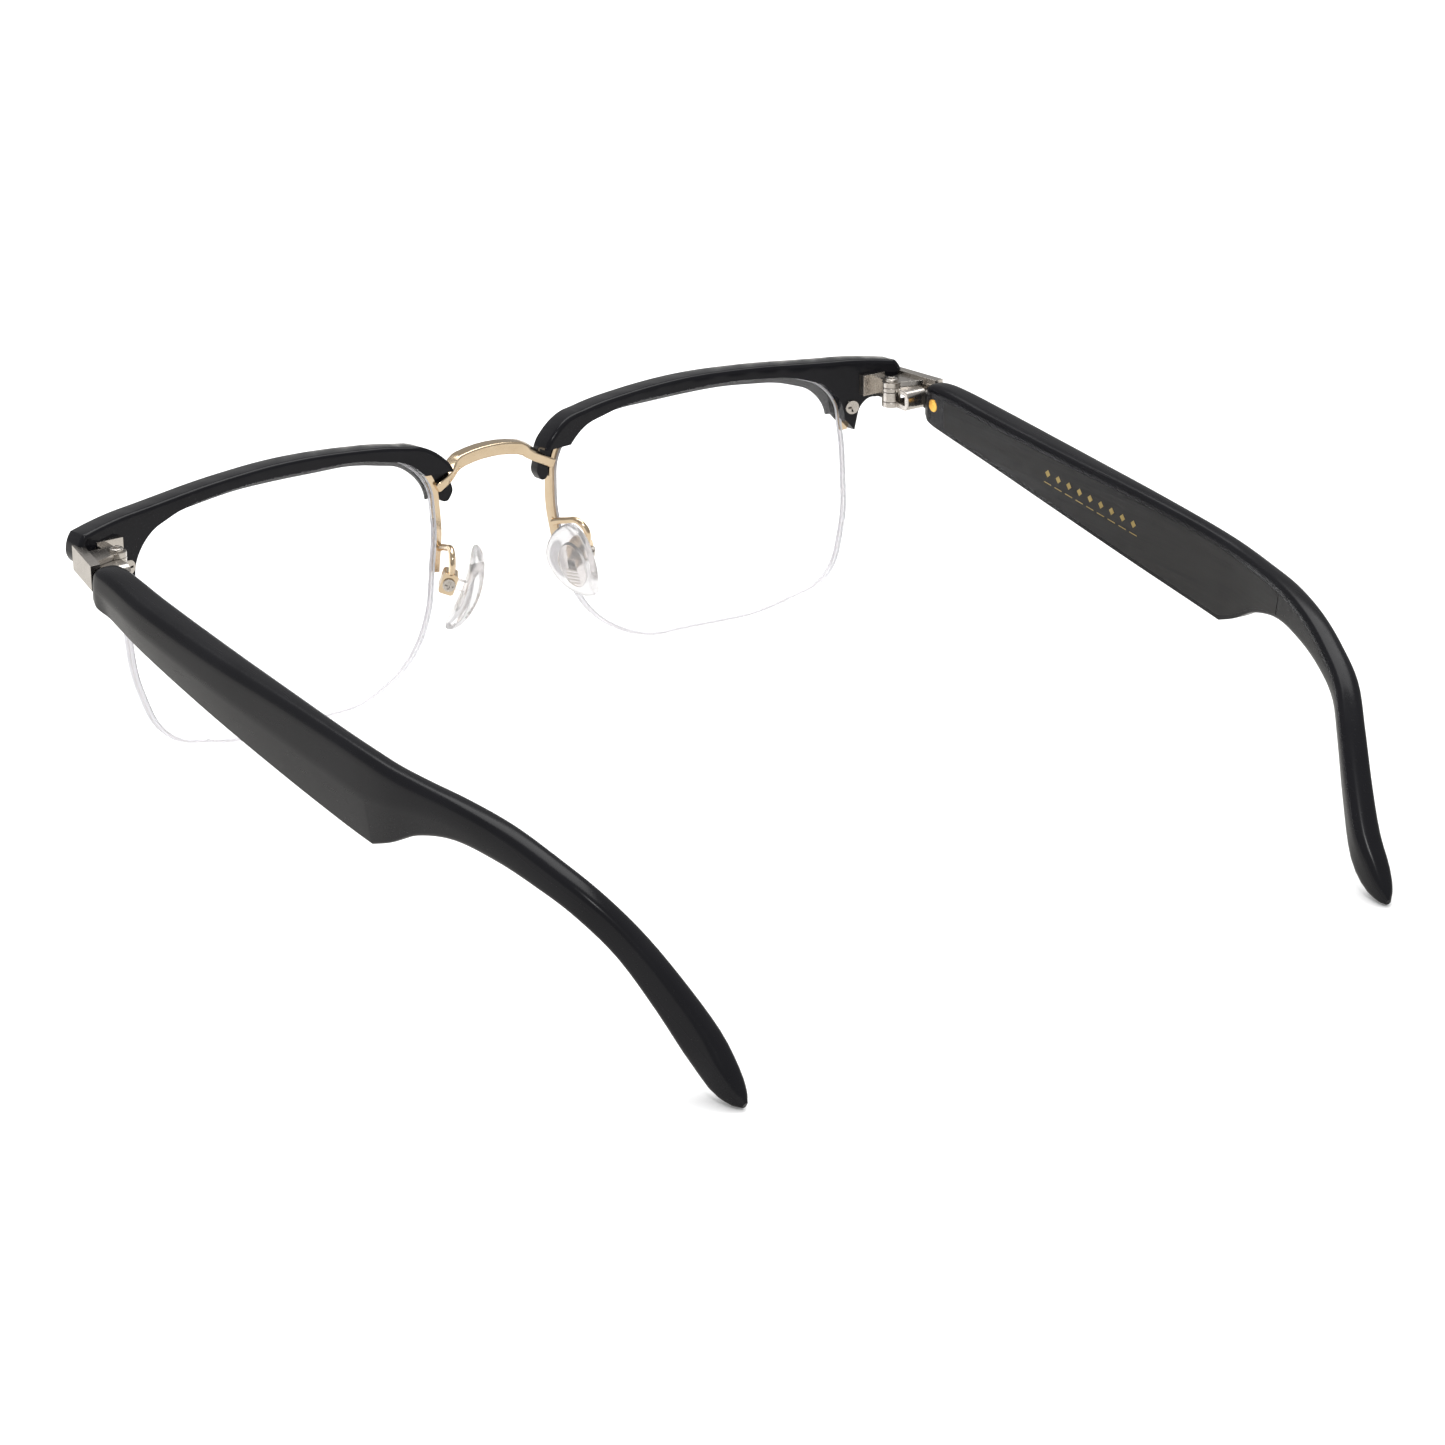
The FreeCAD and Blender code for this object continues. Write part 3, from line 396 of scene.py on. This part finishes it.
def loft(rings, name, mirror):
    """Return a closed mesh through rings of equal point counts, mirrored when asked."""
    work = bmesh.new()
    rows = [[work.verts.new(point) for point in ring] for ring in rings]
    join_rows(work, rows)
    work.faces.new(list(reversed(rows[0])))
    work.faces.new(rows[-1])
    if mirror < 0:
        for vert in work.verts:
            vert.co.x = -vert.co.x
    bmesh.ops.remove_doubles(work, verts=work.verts, dist=1e-7)
    bmesh.ops.recalc_face_normals(work, faces=work.faces)
    soften(work, LOFT_CREASE)
    mesh = bpy.data.meshes.new(name)
    work.to_mesh(mesh)
    work.free()
    return mesh


def eased(origin, rise, start, end, t):
    """Return the place at t from 0 to 1 on a cubic with a rise and its slopes at both ends."""
    square = (rise * 3 - start * 2 - end) * t * t
    cube = (start + end - rise * 2) * t ** 3
    return origin + start * t + square + cube


def smooth_value(keys, values, at):
    """Return a smooth value through keyed values."""
    last = len(keys) - 1
    index = 0
    while index < last - 1 and at > keys[index + 1]:
        index += 1

    def slope(place):
        before = max(place - 1, 0)
        after = min(place + 1, last)
        return (values[after] - values[before]) / (keys[after] - keys[before])

    gap = keys[index + 1] - keys[index]
    t = (at - keys[index]) / gap
    rise = values[index + 1] - values[index]
    start = slope(index) * gap
    end = slope(index + 1) * gap
    return eased(values[index], rise, start, end, t)


# ------------------------------------------------------------------ temples

# Each station along a temple: share of its length, top and bottom edges above the floor,
# offset of its middle from the inner face line, thickness and downward lean, millimetres.
TEMPLE_STATIONS = [
    (0.000, 35.35, 30.75, 2.15, 3.4, 0),
    (0.010, 35.90, 30.00, 2.15, 4.3, 0),
    (0.040, 36.05, 29.25, 2.25, 4.6, 0),
    (0.120, 35.20, 27.70, 2.50, 5.0, 0),
    (0.260, 34.10, 24.90, 2.35, 4.7, 0),
    (0.400, 33.25, 22.15, 1.90, 3.8, 0),
    (0.510, 32.40, 20.30, 1.40, 3.3, 0),
    (0.562, 31.90, 19.60, 1.00, 3.3, 0),
    (0.595, 31.50, 21.10, 0.55, 3.3, 3),
    (0.637, 31.10, 23.60, -0.40, 3.3, 8),
    (0.690, 30.55, 24.95, -1.90, 3.4, 12),
    (0.745, 29.25, 24.15, -3.80, 3.5, 17),
    (0.795, 26.95, 22.45, -5.80, 3.6, 28),
    (0.842, 24.00, 19.80, -8.10, 3.7, 40),
    (0.880, 19.60, 15.40, -11.0, 3.8, 48),
    (0.917, 14.05, 9.25, -13.7, 3.9, 52),
    (0.950, 8.85, 3.55, -15.7, 3.9, 50),
    (0.975, 5.20, 0.65, -16.4, 3.4, 42),
    (0.992, 2.65, 0.05, -16.8, 2.2, 35),
    (1.000, 1.20, 0.20, -17.0, 0.8, 30),
]
NOTCH = 7
INNER_LINE = 68.4
HINGE_TO_TEMPLE = 4.85
TEMPLE_START = joint_place("left_temple_fold").y / MM + HINGE_TO_TEMPLE
TEMPLE_SPAN = 126.25
CREASE_SHARE = 0.54
FACET_SLANT = 0.95
TAIL_SLANT = 0.25
TOP_INSET = 0.35
ROUND_FROM = 0.60
ROUND_OVER = 0.20
SQUARE_END = 0.03
CORNER_REACHES = (0.25, 0.45, 0.70, 1.90, 1.45)
CORNER_STEPS = 8
LOOK_AROUND = 0.004
FULL_TURN_LEAN = 8.0
TEMPLE_RINGS = 110


def temple_values(share):
    """Return top, bottom, offset, thickness and lean of the temple at a share of its length."""
    keys = [station[0] for station in TEMPLE_STATIONS]
    columns = list(zip(*TEMPLE_STATIONS))
    top, bottom, offset, thickness, lean = [smooth_value(keys, columns[i], share) for i in range(1, 6)]
    half = slice(0, NOTCH + 1) if share <= keys[NOTCH] else slice(NOTCH, None)
    bottom = smooth_value(keys[half], columns[2][half], share)
    return top, bottom, offset, thickness, max(lean, 0.0)


def temple_centre(share):
    """Return the middle of the temple at a share of its length, in millimetres."""
    top, bottom, offset = temple_values(share)[:3]
    return Vector((INNER_LINE + offset, TEMPLE_START + share * TEMPLE_SPAN, (top + bottom) / 2))


def temple_frame(share):
    """Return the middle, the outward and upward directions, the height and the thickness."""
    top, bottom, offset, thickness, lean = temple_values(share)
    centre = temple_centre(share)
    after = temple_centre(min(share + LOOK_AROUND, 1.0))
    before = temple_centre(max(share - LOOK_AROUND, 0.0))
    ahead = after - before
    level = Vector((ahead.x, ahead.y, 0)).normalized()
    turn = min(lean / FULL_TURN_LEAN, 1.0)
    level = (Y_AXIS * (1 - turn) + level * turn).normalized()
    fall = math.radians(lean)
    direction = level * math.cos(fall) - Z_AXIS * math.sin(fall)
    outward = direction.cross(Z_AXIS).normalized()
    upward = outward.cross(direction).normalized()
    return centre, outward, upward, top - bottom, thickness


def temple_ring(share):
    """Return the temple's section: flat inside, rounded top, creased outside."""
    centre, outward, upward, height, thickness = temple_frame(share)
    roundness = min(max((share - ROUND_FROM) / ROUND_OVER, 0.0), 1.0)
    slant = FACET_SLANT * (1 - roundness) + TAIL_SLANT * roundness
    end = min(share / SQUARE_END, 1.0)
    half_t = thickness / 2
    half_h = height / 2
    crease_z = -half_h + CREASE_SHARE * height
    corners = [
        Vector((-half_t, -half_h)),
        Vector((half_t - slant * end, -half_h)),
        Vector((half_t, crease_z)),
        Vector((half_t - TOP_INSET, half_h)),
        Vector((-half_t, half_h)),
    ]
    full = min(half_t, half_h)
    reaches = [reach + (full - reach) * roundness for reach in CORNER_REACHES]
    section = rounded_ring(corners, reaches, CORNER_STEPS)
    return stand_section(section, centre, outward, upward)


def temple_shares():
    """Return the shares at which the temple's rings stand, closer at its ends and notch."""
    shares = {step / TEMPLE_RINGS for step in range(TEMPLE_RINGS + 1)}
    notch = TEMPLE_STATIONS[NOTCH][0]
    shares.update((0.003, 0.006, 0.014, 0.02, notch - 0.002, notch, notch + 0.002, notch + 0.005))
    shares.update((0.983, 0.987, 0.994, 0.996, 0.998))
    return sorted(shares)


def make_temple(side, sign):
    """Make one temple body."""
    name = side + "_temple_shell"
    mesh = loft([temple_ring(share) for share in temple_shares()], name, sign)
    finish_piece(mesh, name, TEMPLE_BLACK, side + "_temple_arm", [side + "_temple"])


PANEL_PROUD = 0.05
PANEL_TOP_MARGIN = 1.5
PANEL_BOTTOM_MARGIN = 0.7
PANEL_START = 5.4
PANEL_END = 87.0
PANEL_SINK = 0.4
PANEL_REACHES = (0.05, 0.05, 0.12, 0.12)
PANEL_CORNER_STEPS = 4
PANEL_RINGS = 60


def panel_ring(share):
    """Return the grained panel's section, just proud of the temple's inner face."""
    centre, outward, upward, height, thickness = temple_frame(share)
    low = -height / 2 + PANEL_BOTTOM_MARGIN
    high = height / 2 - PANEL_TOP_MARGIN
    face = -thickness / 2
    corners = [
        Vector((face + PANEL_SINK, low)),
        Vector((face + PANEL_SINK, high)),
        Vector((face - PANEL_PROUD, high)),
        Vector((face - PANEL_PROUD, low)),
    ]
    section = rounded_ring(corners, PANEL_REACHES, PANEL_CORNER_STEPS)
    return stand_section(section, centre, outward, upward)


def make_panel(side, sign):
    """Make the grained panel on one temple's inner face."""
    first = PANEL_START / TEMPLE_SPAN
    last = PANEL_END / TEMPLE_SPAN
    shares = [first + (last - first) * step / PANEL_RINGS for step in range(PANEL_RINGS + 1)]
    name = side + "_grained_panel"
    mesh = loft([panel_ring(share) for share in shares], name, sign)
    nodes = [side + "_temple_inlay"]
    finish_piece(mesh, name, PANEL, side + "_temple_arm", nodes)


# ------------------------------------------------------------------ repeated details


def tree_input(tree, label, value, kind="NodeSocketFloat"):
    """Add a named input to a geometry tree and return its identifier."""
    socket = tree.interface.new_socket(label, in_out="INPUT", socket_type=kind)
    if value is not None:
        socket.default_value = value
    return socket.identifier


def make_row_tree():
    """Geometry tree: a row of small plates along a straight line, then realised."""
    tree = bpy.data.node_groups.new("plate_row", "GeometryNodeTree")
    names = {
        "Start": tree_input(tree, "Start", None, "NodeSocketVector"),
        "End": tree_input(tree, "End", None, "NodeSocketVector"),
        "Count": tree_input(tree, "Count", 5, "NodeSocketInt"),
        "Size": tree_input(tree, "Size", None, "NodeSocketVector"),
        "Turn": tree_input(tree, "Turn", None, "NodeSocketVector"),
        "Material": tree_input(tree, "Material", None, "NodeSocketMaterial"),
    }
    tree.interface.new_socket("Geometry", in_out="OUTPUT", socket_type="NodeSocketGeometry")
    entry = tree.nodes.new("NodeGroupInput")
    line = tree.nodes.new("GeometryNodeCurvePrimitiveLine")
    resample = tree.nodes.new("GeometryNodeResampleCurve")
    plate = tree.nodes.new("GeometryNodeMeshCube")
    place = tree.nodes.new("GeometryNodeInstanceOnPoints")
    real = tree.nodes.new("GeometryNodeRealizeInstances")
    paint = tree.nodes.new("GeometryNodeSetMaterial")
    result = tree.nodes.new("NodeGroupOutput")
    tree.links.new(entry.outputs["Start"], line.inputs["Start"])
    tree.links.new(entry.outputs["End"], line.inputs["End"])
    tree.links.new(line.outputs["Curve"], resample.inputs["Curve"])
    tree.links.new(entry.outputs["Count"], resample.inputs["Count"])
    tree.links.new(entry.outputs["Size"], plate.inputs["Size"])
    tree.links.new(resample.outputs["Curve"], place.inputs["Points"])
    tree.links.new(plate.outputs["Mesh"], place.inputs["Instance"])
    tree.links.new(entry.outputs["Turn"], place.inputs["Rotation"])
    tree.links.new(place.outputs["Instances"], real.inputs["Geometry"])
    tree.links.new(real.outputs["Geometry"], paint.inputs["Geometry"])
    tree.links.new(entry.outputs["Material"], paint.inputs["Material"])
    tree.links.new(paint.outputs["Geometry"], result.inputs["Geometry"])
    return tree, names


ROW_TREE, ROW_INPUTS = make_row_tree()


def make_row(name, start, end, count, size, turn, material, body, slot_name):
    """Make a row of small plates and turn it into a plain mesh."""
    holder = bpy.data.objects.new(name + "_source", bpy.data.meshes.new(name + "_source"))
    bpy.context.scene.collection.objects.link(holder)
    modifier = holder.modifiers.new("row", "NODES")
    modifier.node_group = ROW_TREE
    modifier[ROW_INPUTS["Start"]] = start
    modifier[ROW_INPUTS["End"]] = end
    modifier[ROW_INPUTS["Count"]] = count
    modifier[ROW_INPUTS["Size"]] = size
    modifier[ROW_INPUTS["Turn"]] = turn
    modifier[ROW_INPUTS["Material"]] = material
    view = bpy.context.evaluated_depsgraph_get()
    mesh = bpy.data.meshes.new_from_object(holder.evaluated_get(view))
    bpy.data.objects.remove(holder)
    return finish_piece(mesh, name, material, body, [])


ORNAMENT_START = 31.0
ORNAMENT_END = 51.0
ORNAMENT_RISE = 0.4
ORNAMENT_COUNT = 9
PRINT_LIFT = 0.005
HAIRLINE_DROP = 1.5
LOZENGE_SIZE = (0.00002, 0.00085, 0.00085)
DASH_SIZE = (0.00002, 0.0017, 0.00014)


def make_ornament():
    """Print a plain row of small gold lozenges and a hairline on the right temple's panel."""
    ends = []
    for share in (ORNAMENT_START / TEMPLE_SPAN, ORNAMENT_END / TEMPLE_SPAN):
        centre, outward, upward, height, thickness = temple_frame(share)
        spot = centre - outward * (thickness / 2 + PANEL_PROUD + PRINT_LIFT)
        ends.append(Vector((-spot.x, spot.y, spot.z + ORNAMENT_RISE)) * MM)
    slope = math.atan2(ends[1].z - ends[0].z, ends[1].y - ends[0].y)
    lozenge_turn = (slope + math.radians(45), 0, 0)
    dash_turn = (slope, 0, 0)
    drop = Vector((0, 0, -HAIRLINE_DROP * MM))
    rows = (
        ("right_temple_lozenges", Vector(), LOZENGE_SIZE, lozenge_turn),
        ("right_temple_hairline", drop, DASH_SIZE, dash_turn),
    )
    finish = (PRINT_GOLD, "right_temple_arm", "gold_metal")
    for name, shift, size, turn in rows:
        start = ends[0] + shift
        end = ends[1] + shift
        make_row(name, start, end, ORNAMENT_COUNT, size, turn, *finish)


# ------------------------------------------------------------------ nose pads

PAD_SPLAY = math.radians(31.0)
PAD_FRONTAL = math.radians(20.0)
PAD_HEIGHT = 13.4
PAD_WIDTH = 8.0
PAD_HALF_THICKNESS = 1.25
PAD_BEND = 1.5
DROP_OUTLINE = [
    (0.02, 0.50),
    (-0.34, 0.36),
    (-0.50, 0.10),
    (-0.36, -0.24),
    (-0.10, -0.46),
    (0.16, -0.50),
    (0.40, -0.36),
    (0.50, 0.02),
    (0.36, 0.36),
]
PAD_AXIS_OFFSET = 2.95
PAD_FULLNESS = 5
PAD_BACK_SHARE = 0.9
PAD_BEND_BALANCE = 0.35
PAD_AROUND = 54
PAD_LEVELS = (0.25, 0.45, 0.62, 0.76, 0.87, 0.94, 0.98, 1.0)
SLAT_HEIGHTS = (-0.6, -3.0)
SLAT_DEPTH = -0.45
SLAT_COUNT = 5
SLAT_SIZE = (0.00016, 0.0019, 0.00026)


def pad_turn():
    """Return the left pad's rotation."""
    return Matrix.Rotation(-PAD_SPLAY, 4, "Z") @ Matrix.Rotation(-PAD_FRONTAL, 4, "Y")


def pad_middle():
    """Return the middle of the left pad, from its rocking axis, in millimetres."""
    point = joint_place("left_pad_rock") / MM
    return point - pad_turn() @ Vector((PAD_AXIS_OFFSET, 0, 0))


def drop_point(angle):
    """Return a point on the drop outline, 0 to 1 round it."""
    count = len(DROP_OUTLINE)
    place = angle * count
    index = int(place) % count
    t = place - int(place)
    points = [Vector(DROP_OUTLINE[(index + step) % count]) for step in (-1, 0, 1, 2)]
    start = (points[2] - points[0]) / 2
    end = (points[3] - points[1]) / 2
    rise = points[2] - points[1]
    return eased(points[1], rise, start, end, t)


def pad_point(angle, radial, face):
    """Return a point of the pad's front (face -1) or back (face 1) surface."""
    edge = drop_point(angle)
    y = edge.x * PAD_WIDTH * radial
    z = edge.y * PAD_HEIGHT * radial
    swell = math.sqrt(max(1 - radial ** PAD_FULLNESS, 0.0))
    depth = PAD_HALF_THICKNESS * swell * (1.0 if face < 0 else PAD_BACK_SHARE)
    bend = PAD_BEND * ((z / (PAD_HEIGHT / 2)) ** 2 - PAD_BEND_BALANCE)
    return Vector((bend + face * depth, y, z))


def make_pad(side, sign):
    """Make one soft silicone nose pad, bent round its insert."""
    turn = pad_turn()
    middle = pad_middle()
    work = bmesh.new()

    def pad_vertex(angle, radial, face):
        point = middle + turn @ pad_point(angle, radial, face)
        return work.verts.new((point.x * sign * MM, point.y * MM, point.z * MM))

    levels = [(radial, -1) for radial in PAD_LEVELS]
    levels += [(radial, 1) for radial in reversed(PAD_LEVELS[:-1])]
    rows = []
    for radial, face in levels:
        rows.append([pad_vertex(step / PAD_AROUND, radial, face) for step in range(PAD_AROUND)])
    join_rows(work, rows)
    for face, row in ((-1, rows[0]), (1, rows[-1])):
        pole = pad_vertex(0.0, 0.0, face)
        for index in range(PAD_AROUND):
            work.faces.new((row[index], row[(index + 1) % PAD_AROUND], pole))
    bmesh.ops.recalc_face_normals(work, faces=work.faces)
    soften(work, NO_CREASE)
    name = side + "_soft_pad"
    mesh = bpy.data.meshes.new(name)
    work.to_mesh(mesh)
    work.free()
    body = side + "_pad_assembly"
    piece = finish_piece(mesh, name, SILICONE, body, [side + "_nose_pad"])
    make_slats(side, sign, turn, middle)


def make_slats(side, sign, turn, middle):
    """Make the short ladder of slats on the pad's insert."""
    ends = []
    for z in SLAT_HEIGHTS:
        point = middle + turn @ Vector((SLAT_DEPTH, 0.0, z))
        ends.append(Vector((point.x * sign, point.y, point.z)) * MM)
    angles = turn.to_euler()
    slat_turn = (angles.x, angles.y * sign, angles.z * sign)
    finish = (NICKEL, side + "_pad_assembly", "pad_insert")
    make_row(side + "_pad_slats", ends[0], ends[1], SLAT_COUNT, SLAT_SIZE, slat_turn, *finish)


# ------------------------------------------------------------------ bridge

# Half of the bridge from its middle to a foot: distance across, setback from the front face,
# drop below the top, depth and height, millimetres.
BRIDGE_STATIONS = [
    (0.0, 1.10, 0.95, 2.2, 1.9),
    (1.6, 1.10, 1.00, 2.2, 1.9),
    (3.2, 1.10, 1.20, 2.2, 1.9),
    (4.8, 1.10, 1.54, 2.2, 1.9),
    (5.2, 1.12, 1.68, 2.2, 1.9),
    (6.0, 1.30, 2.05, 2.0, 1.75),
    (6.6, 1.75, 2.55, 1.7, 1.6),
    (7.2, 2.55, 3.00, 1.4, 1.5),
    (7.9, 3.25, 3.45, 1.0, 1.45),
    (8.8, 3.55, 3.95, 0.85, 1.45),
    (9.8, 3.60, 4.50, 0.85, 1.45),
    (10.0, 3.60, 4.60, 0.75, 1.25),
]


FOOT_SETBACK = BRIDGE_STATIONS[-1][1]
FOOT_HALF_DEPTH = 0.43
BRIDGE_CORNER = 0.28
BRIDGE_CORNER_STEPS = 5


def make_bridge():
    """Make the bridge: one flat bar that folds back to its feet."""
    low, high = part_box("bridge")
    front = low.y / MM
    top = high.z / MM
    back = high.y / MM
    scale = (back - front - FOOT_HALF_DEPTH) / FOOT_SETBACK
    stations = [(-x, *rest) for x, *rest in reversed(BRIDGE_STATIONS[1:])] + BRIDGE_STATIONS
    centres = []
    for x, setback, drop in (station[:3] for station in stations):
        centres.append(Vector((x, front + setback * scale, top - drop)))
    rings = []
    for index, (depth, height) in enumerate(station[3:] for station in stations):
        before = centres[max(index - 1, 0)]
        after = centres[min(index + 1, len(centres) - 1)]
        direction = (after - before).normalized()
        across = Z_AXIS.cross(direction).normalized()
        upward = direction.cross(across).normalized()
        corners = [
            Vector((-depth / 2, -height / 2)),
            Vector((depth / 2, -height / 2)),
            Vector((depth / 2, height / 2)),
            Vector((-depth / 2, height / 2)),
        ]
        section = rounded_ring(corners, [BRIDGE_CORNER] * 4, BRIDGE_CORNER_STEPS)
        rings.append(stand_section(section, centres[index], across, upward))
    mesh = loft(rings, "bridge_bar", 1)
    finish_piece(mesh, "bridge_bar", GOLD, "front", ["bridge"])


# ------------------------------------------------------------------ all pieces

# Copied nodes: name after the side, body, slot, material and bevel.
COPIES = [
    ("brow_bar", "front", "black_acetate", BLACK, 0.0),
    ("eyewire", "front", "gold_metal", GOLD, 0.0),
    ("lens", "front", "clear_lens", LENS, 0.0),
    ("lens_cord", "front", "clear_nylon", NYLON, 0.0),
    ("lens_liner", "front", "clear_nylon", NYLON, 0.0),
    ("brow_screw", "front", "nickel_steel", NICKEL, FINE_BEVEL),
    ("endpiece", "front", "nickel_steel", NICKEL, BROAD_BEVEL),
    ("hinge_screw", "front", "nickel_steel", NICKEL, FINE_BEVEL),
    ("pad_arm", "front", "gold_metal", GOLD, 0.0),
    ("pad_box", "front", "gold_metal", GOLD, BROAD_BEVEL),
    ("pad_screw", "front", "nickel_steel", NICKEL, FINE_BEVEL),
    ("hinge_leaf", "temple_arm", "nickel_steel", NICKEL, BROAD_BEVEL),
    ("core_wire", "temple_arm", "dark_steel", DARK_STEEL, FINE_BEVEL),
    ("temple_rivet", "temple_arm", "gold_rivet", RIVET_GOLD, FINE_BEVEL),
    ("pad_core", "pad_assembly", "pad_insert", INSERT, 0.0),
]

for side, sign in SIDES:
    make_temple(side, sign)
    make_panel(side, sign)
    make_pad(side, sign)
    for node, part, slot_name, material, bevel in COPIES:
        body = part if part == "front" else side + "_" + part
        polished_copy(side + "_" + node, body, material, bevel)

make_bridge()
make_ornament()
for side, sign in SIDES:
    grind_edge(bpy.data.objects[side + "_lens_piece"])


# ------------------------------------------------------------------ stage, lights and camera


def mirror_mask(tree):
    """Return one for rays that left a polished surface by reflection, else zero."""
    path = tree.nodes.new("ShaderNodeLightPath")
    both = tree.nodes.new("ShaderNodeMath")
    both.operation = "MULTIPLY"
    tree.links.new(path.outputs["Is Glossy Ray"], both.inputs[0])
    tree.links.new(path.outputs["Is Reflection Ray"], both.inputs[1])
    return both.outputs["Value"]


FLOOR_PALE = (0.90, 0.90, 0.90, 1)
FLOOR_MIRRORED = (0.50, 0.49, 0.47, 1)
FLOOR_REACH = 6.0
WORLD_STRENGTH = 1.15
WORLD_MIRRORED = 0.35
CAMERA_PLACE = (0.32374, 0.46942, 0.24636)
CAMERA_BACK = (0.51951, 0.76687, 0.37686)
CAMERA_ROLL = math.radians(-0.322)
CAMERA_LENS = 112.2


def make_floor_finish():
    """Pale matt floor, set darker for the rays that polished pieces reflect."""
    material, tree, shader = new_material("pale_floor")
    shader.inputs["Roughness"].default_value = 0.9
    shader.inputs["Specular IOR Level"].default_value = 0.0
    mix = tree.nodes.new("ShaderNodeMix")
    mix.data_type = "RGBA"
    mix.inputs["A"].default_value = FLOOR_PALE
    mix.inputs["B"].default_value = FLOOR_MIRRORED
    tree.links.new(mirror_mask(tree), mix.inputs["Factor"])
    tree.links.new(mix.outputs["Result"], shader.inputs["Base Color"])
    return material


def make_floor():
    """Lay a plain pale floor under the glasses."""
    mesh = bpy.data.meshes.new("studio_floor")
    turns = ((-1, -1), (1, -1), (1, 1), (-1, 1))
    corners = [(x * FLOOR_REACH, y * FLOOR_REACH, 0) for x, y in turns]
    mesh.from_pydata(corners, [], [(0, 1, 2, 3)])
    mesh.materials.append(make_floor_finish())
    floor = bpy.data.objects.new("studio_floor", mesh)
    bpy.context.scene.collection.objects.link(floor)


def make_world():
    """Light the studio evenly, set darker for the rays that polished pieces reflect."""
    world = bpy.data.worlds.new("soft_studio")
    world.use_nodes = True
    tree = world.node_tree
    background = tree.nodes["Background"]
    span = tree.nodes.new("ShaderNodeMapRange")
    span.inputs["To Min"].default_value = WORLD_STRENGTH
    span.inputs["To Max"].default_value = WORLD_MIRRORED
    tree.links.new(mirror_mask(tree), span.inputs["Value"])
    tree.links.new(span.outputs["Result"], background.inputs["Strength"])
    background.inputs["Color"].default_value = (1, 1, 1, 1)
    bpy.context.scene.world = world


def make_softbox(name, place, target, width, height, power):
    """Hang a softbox that faces a target."""
    data = bpy.data.lights.new(name, "AREA")
    data.shape = "RECTANGLE"
    data.size = width
    data.size_y = height
    data.energy = power
    lamp = bpy.data.objects.new(name, data)
    lamp.location = place
    aim = Vector(target) - Vector(place)
    lamp.rotation_euler = aim.to_track_quat("-Z", "Y").to_euler()
    bpy.context.scene.collection.objects.link(lamp)


def make_camera():
    """Stand the camera behind the wearer's left shoulder, looking down at the glasses."""
    back = Vector(CAMERA_BACK).normalized()
    level = Z_AXIS.cross(back).normalized()
    upright = back.cross(level).normalized()
    right = level * math.cos(CAMERA_ROLL) + upright * math.sin(CAMERA_ROLL)
    up = upright * math.cos(CAMERA_ROLL) - level * math.sin(CAMERA_ROLL)
    data = bpy.data.cameras.new("studio_camera")
    data.sensor_width = 36.0
    data.lens = CAMERA_LENS
    data.clip_start = 0.05
    data.clip_end = 30.0
    camera = bpy.data.objects.new("studio_camera", data)
    turn = Matrix((right, up, back)).transposed().to_4x4()
    camera.matrix_world = Matrix.Translation(CAMERA_PLACE) @ turn
    bpy.context.scene.collection.objects.link(camera)
    bpy.context.scene.camera = camera


make_floor()
make_world()
make_softbox("overhead_softbox", (-0.2, -0.3, 1.1), (0, 0, 0), 1.2, 0.8, 10.0)
make_softbox("rear_softbox", (0.35, 0.55, 0.80), (0.03, 0.05, 0.02), 0.10, 0.16, 1.6)
make_camera()
bpy.context.scene.view_settings.view_transform = "Standard"
bpy.context.view_layer.update()
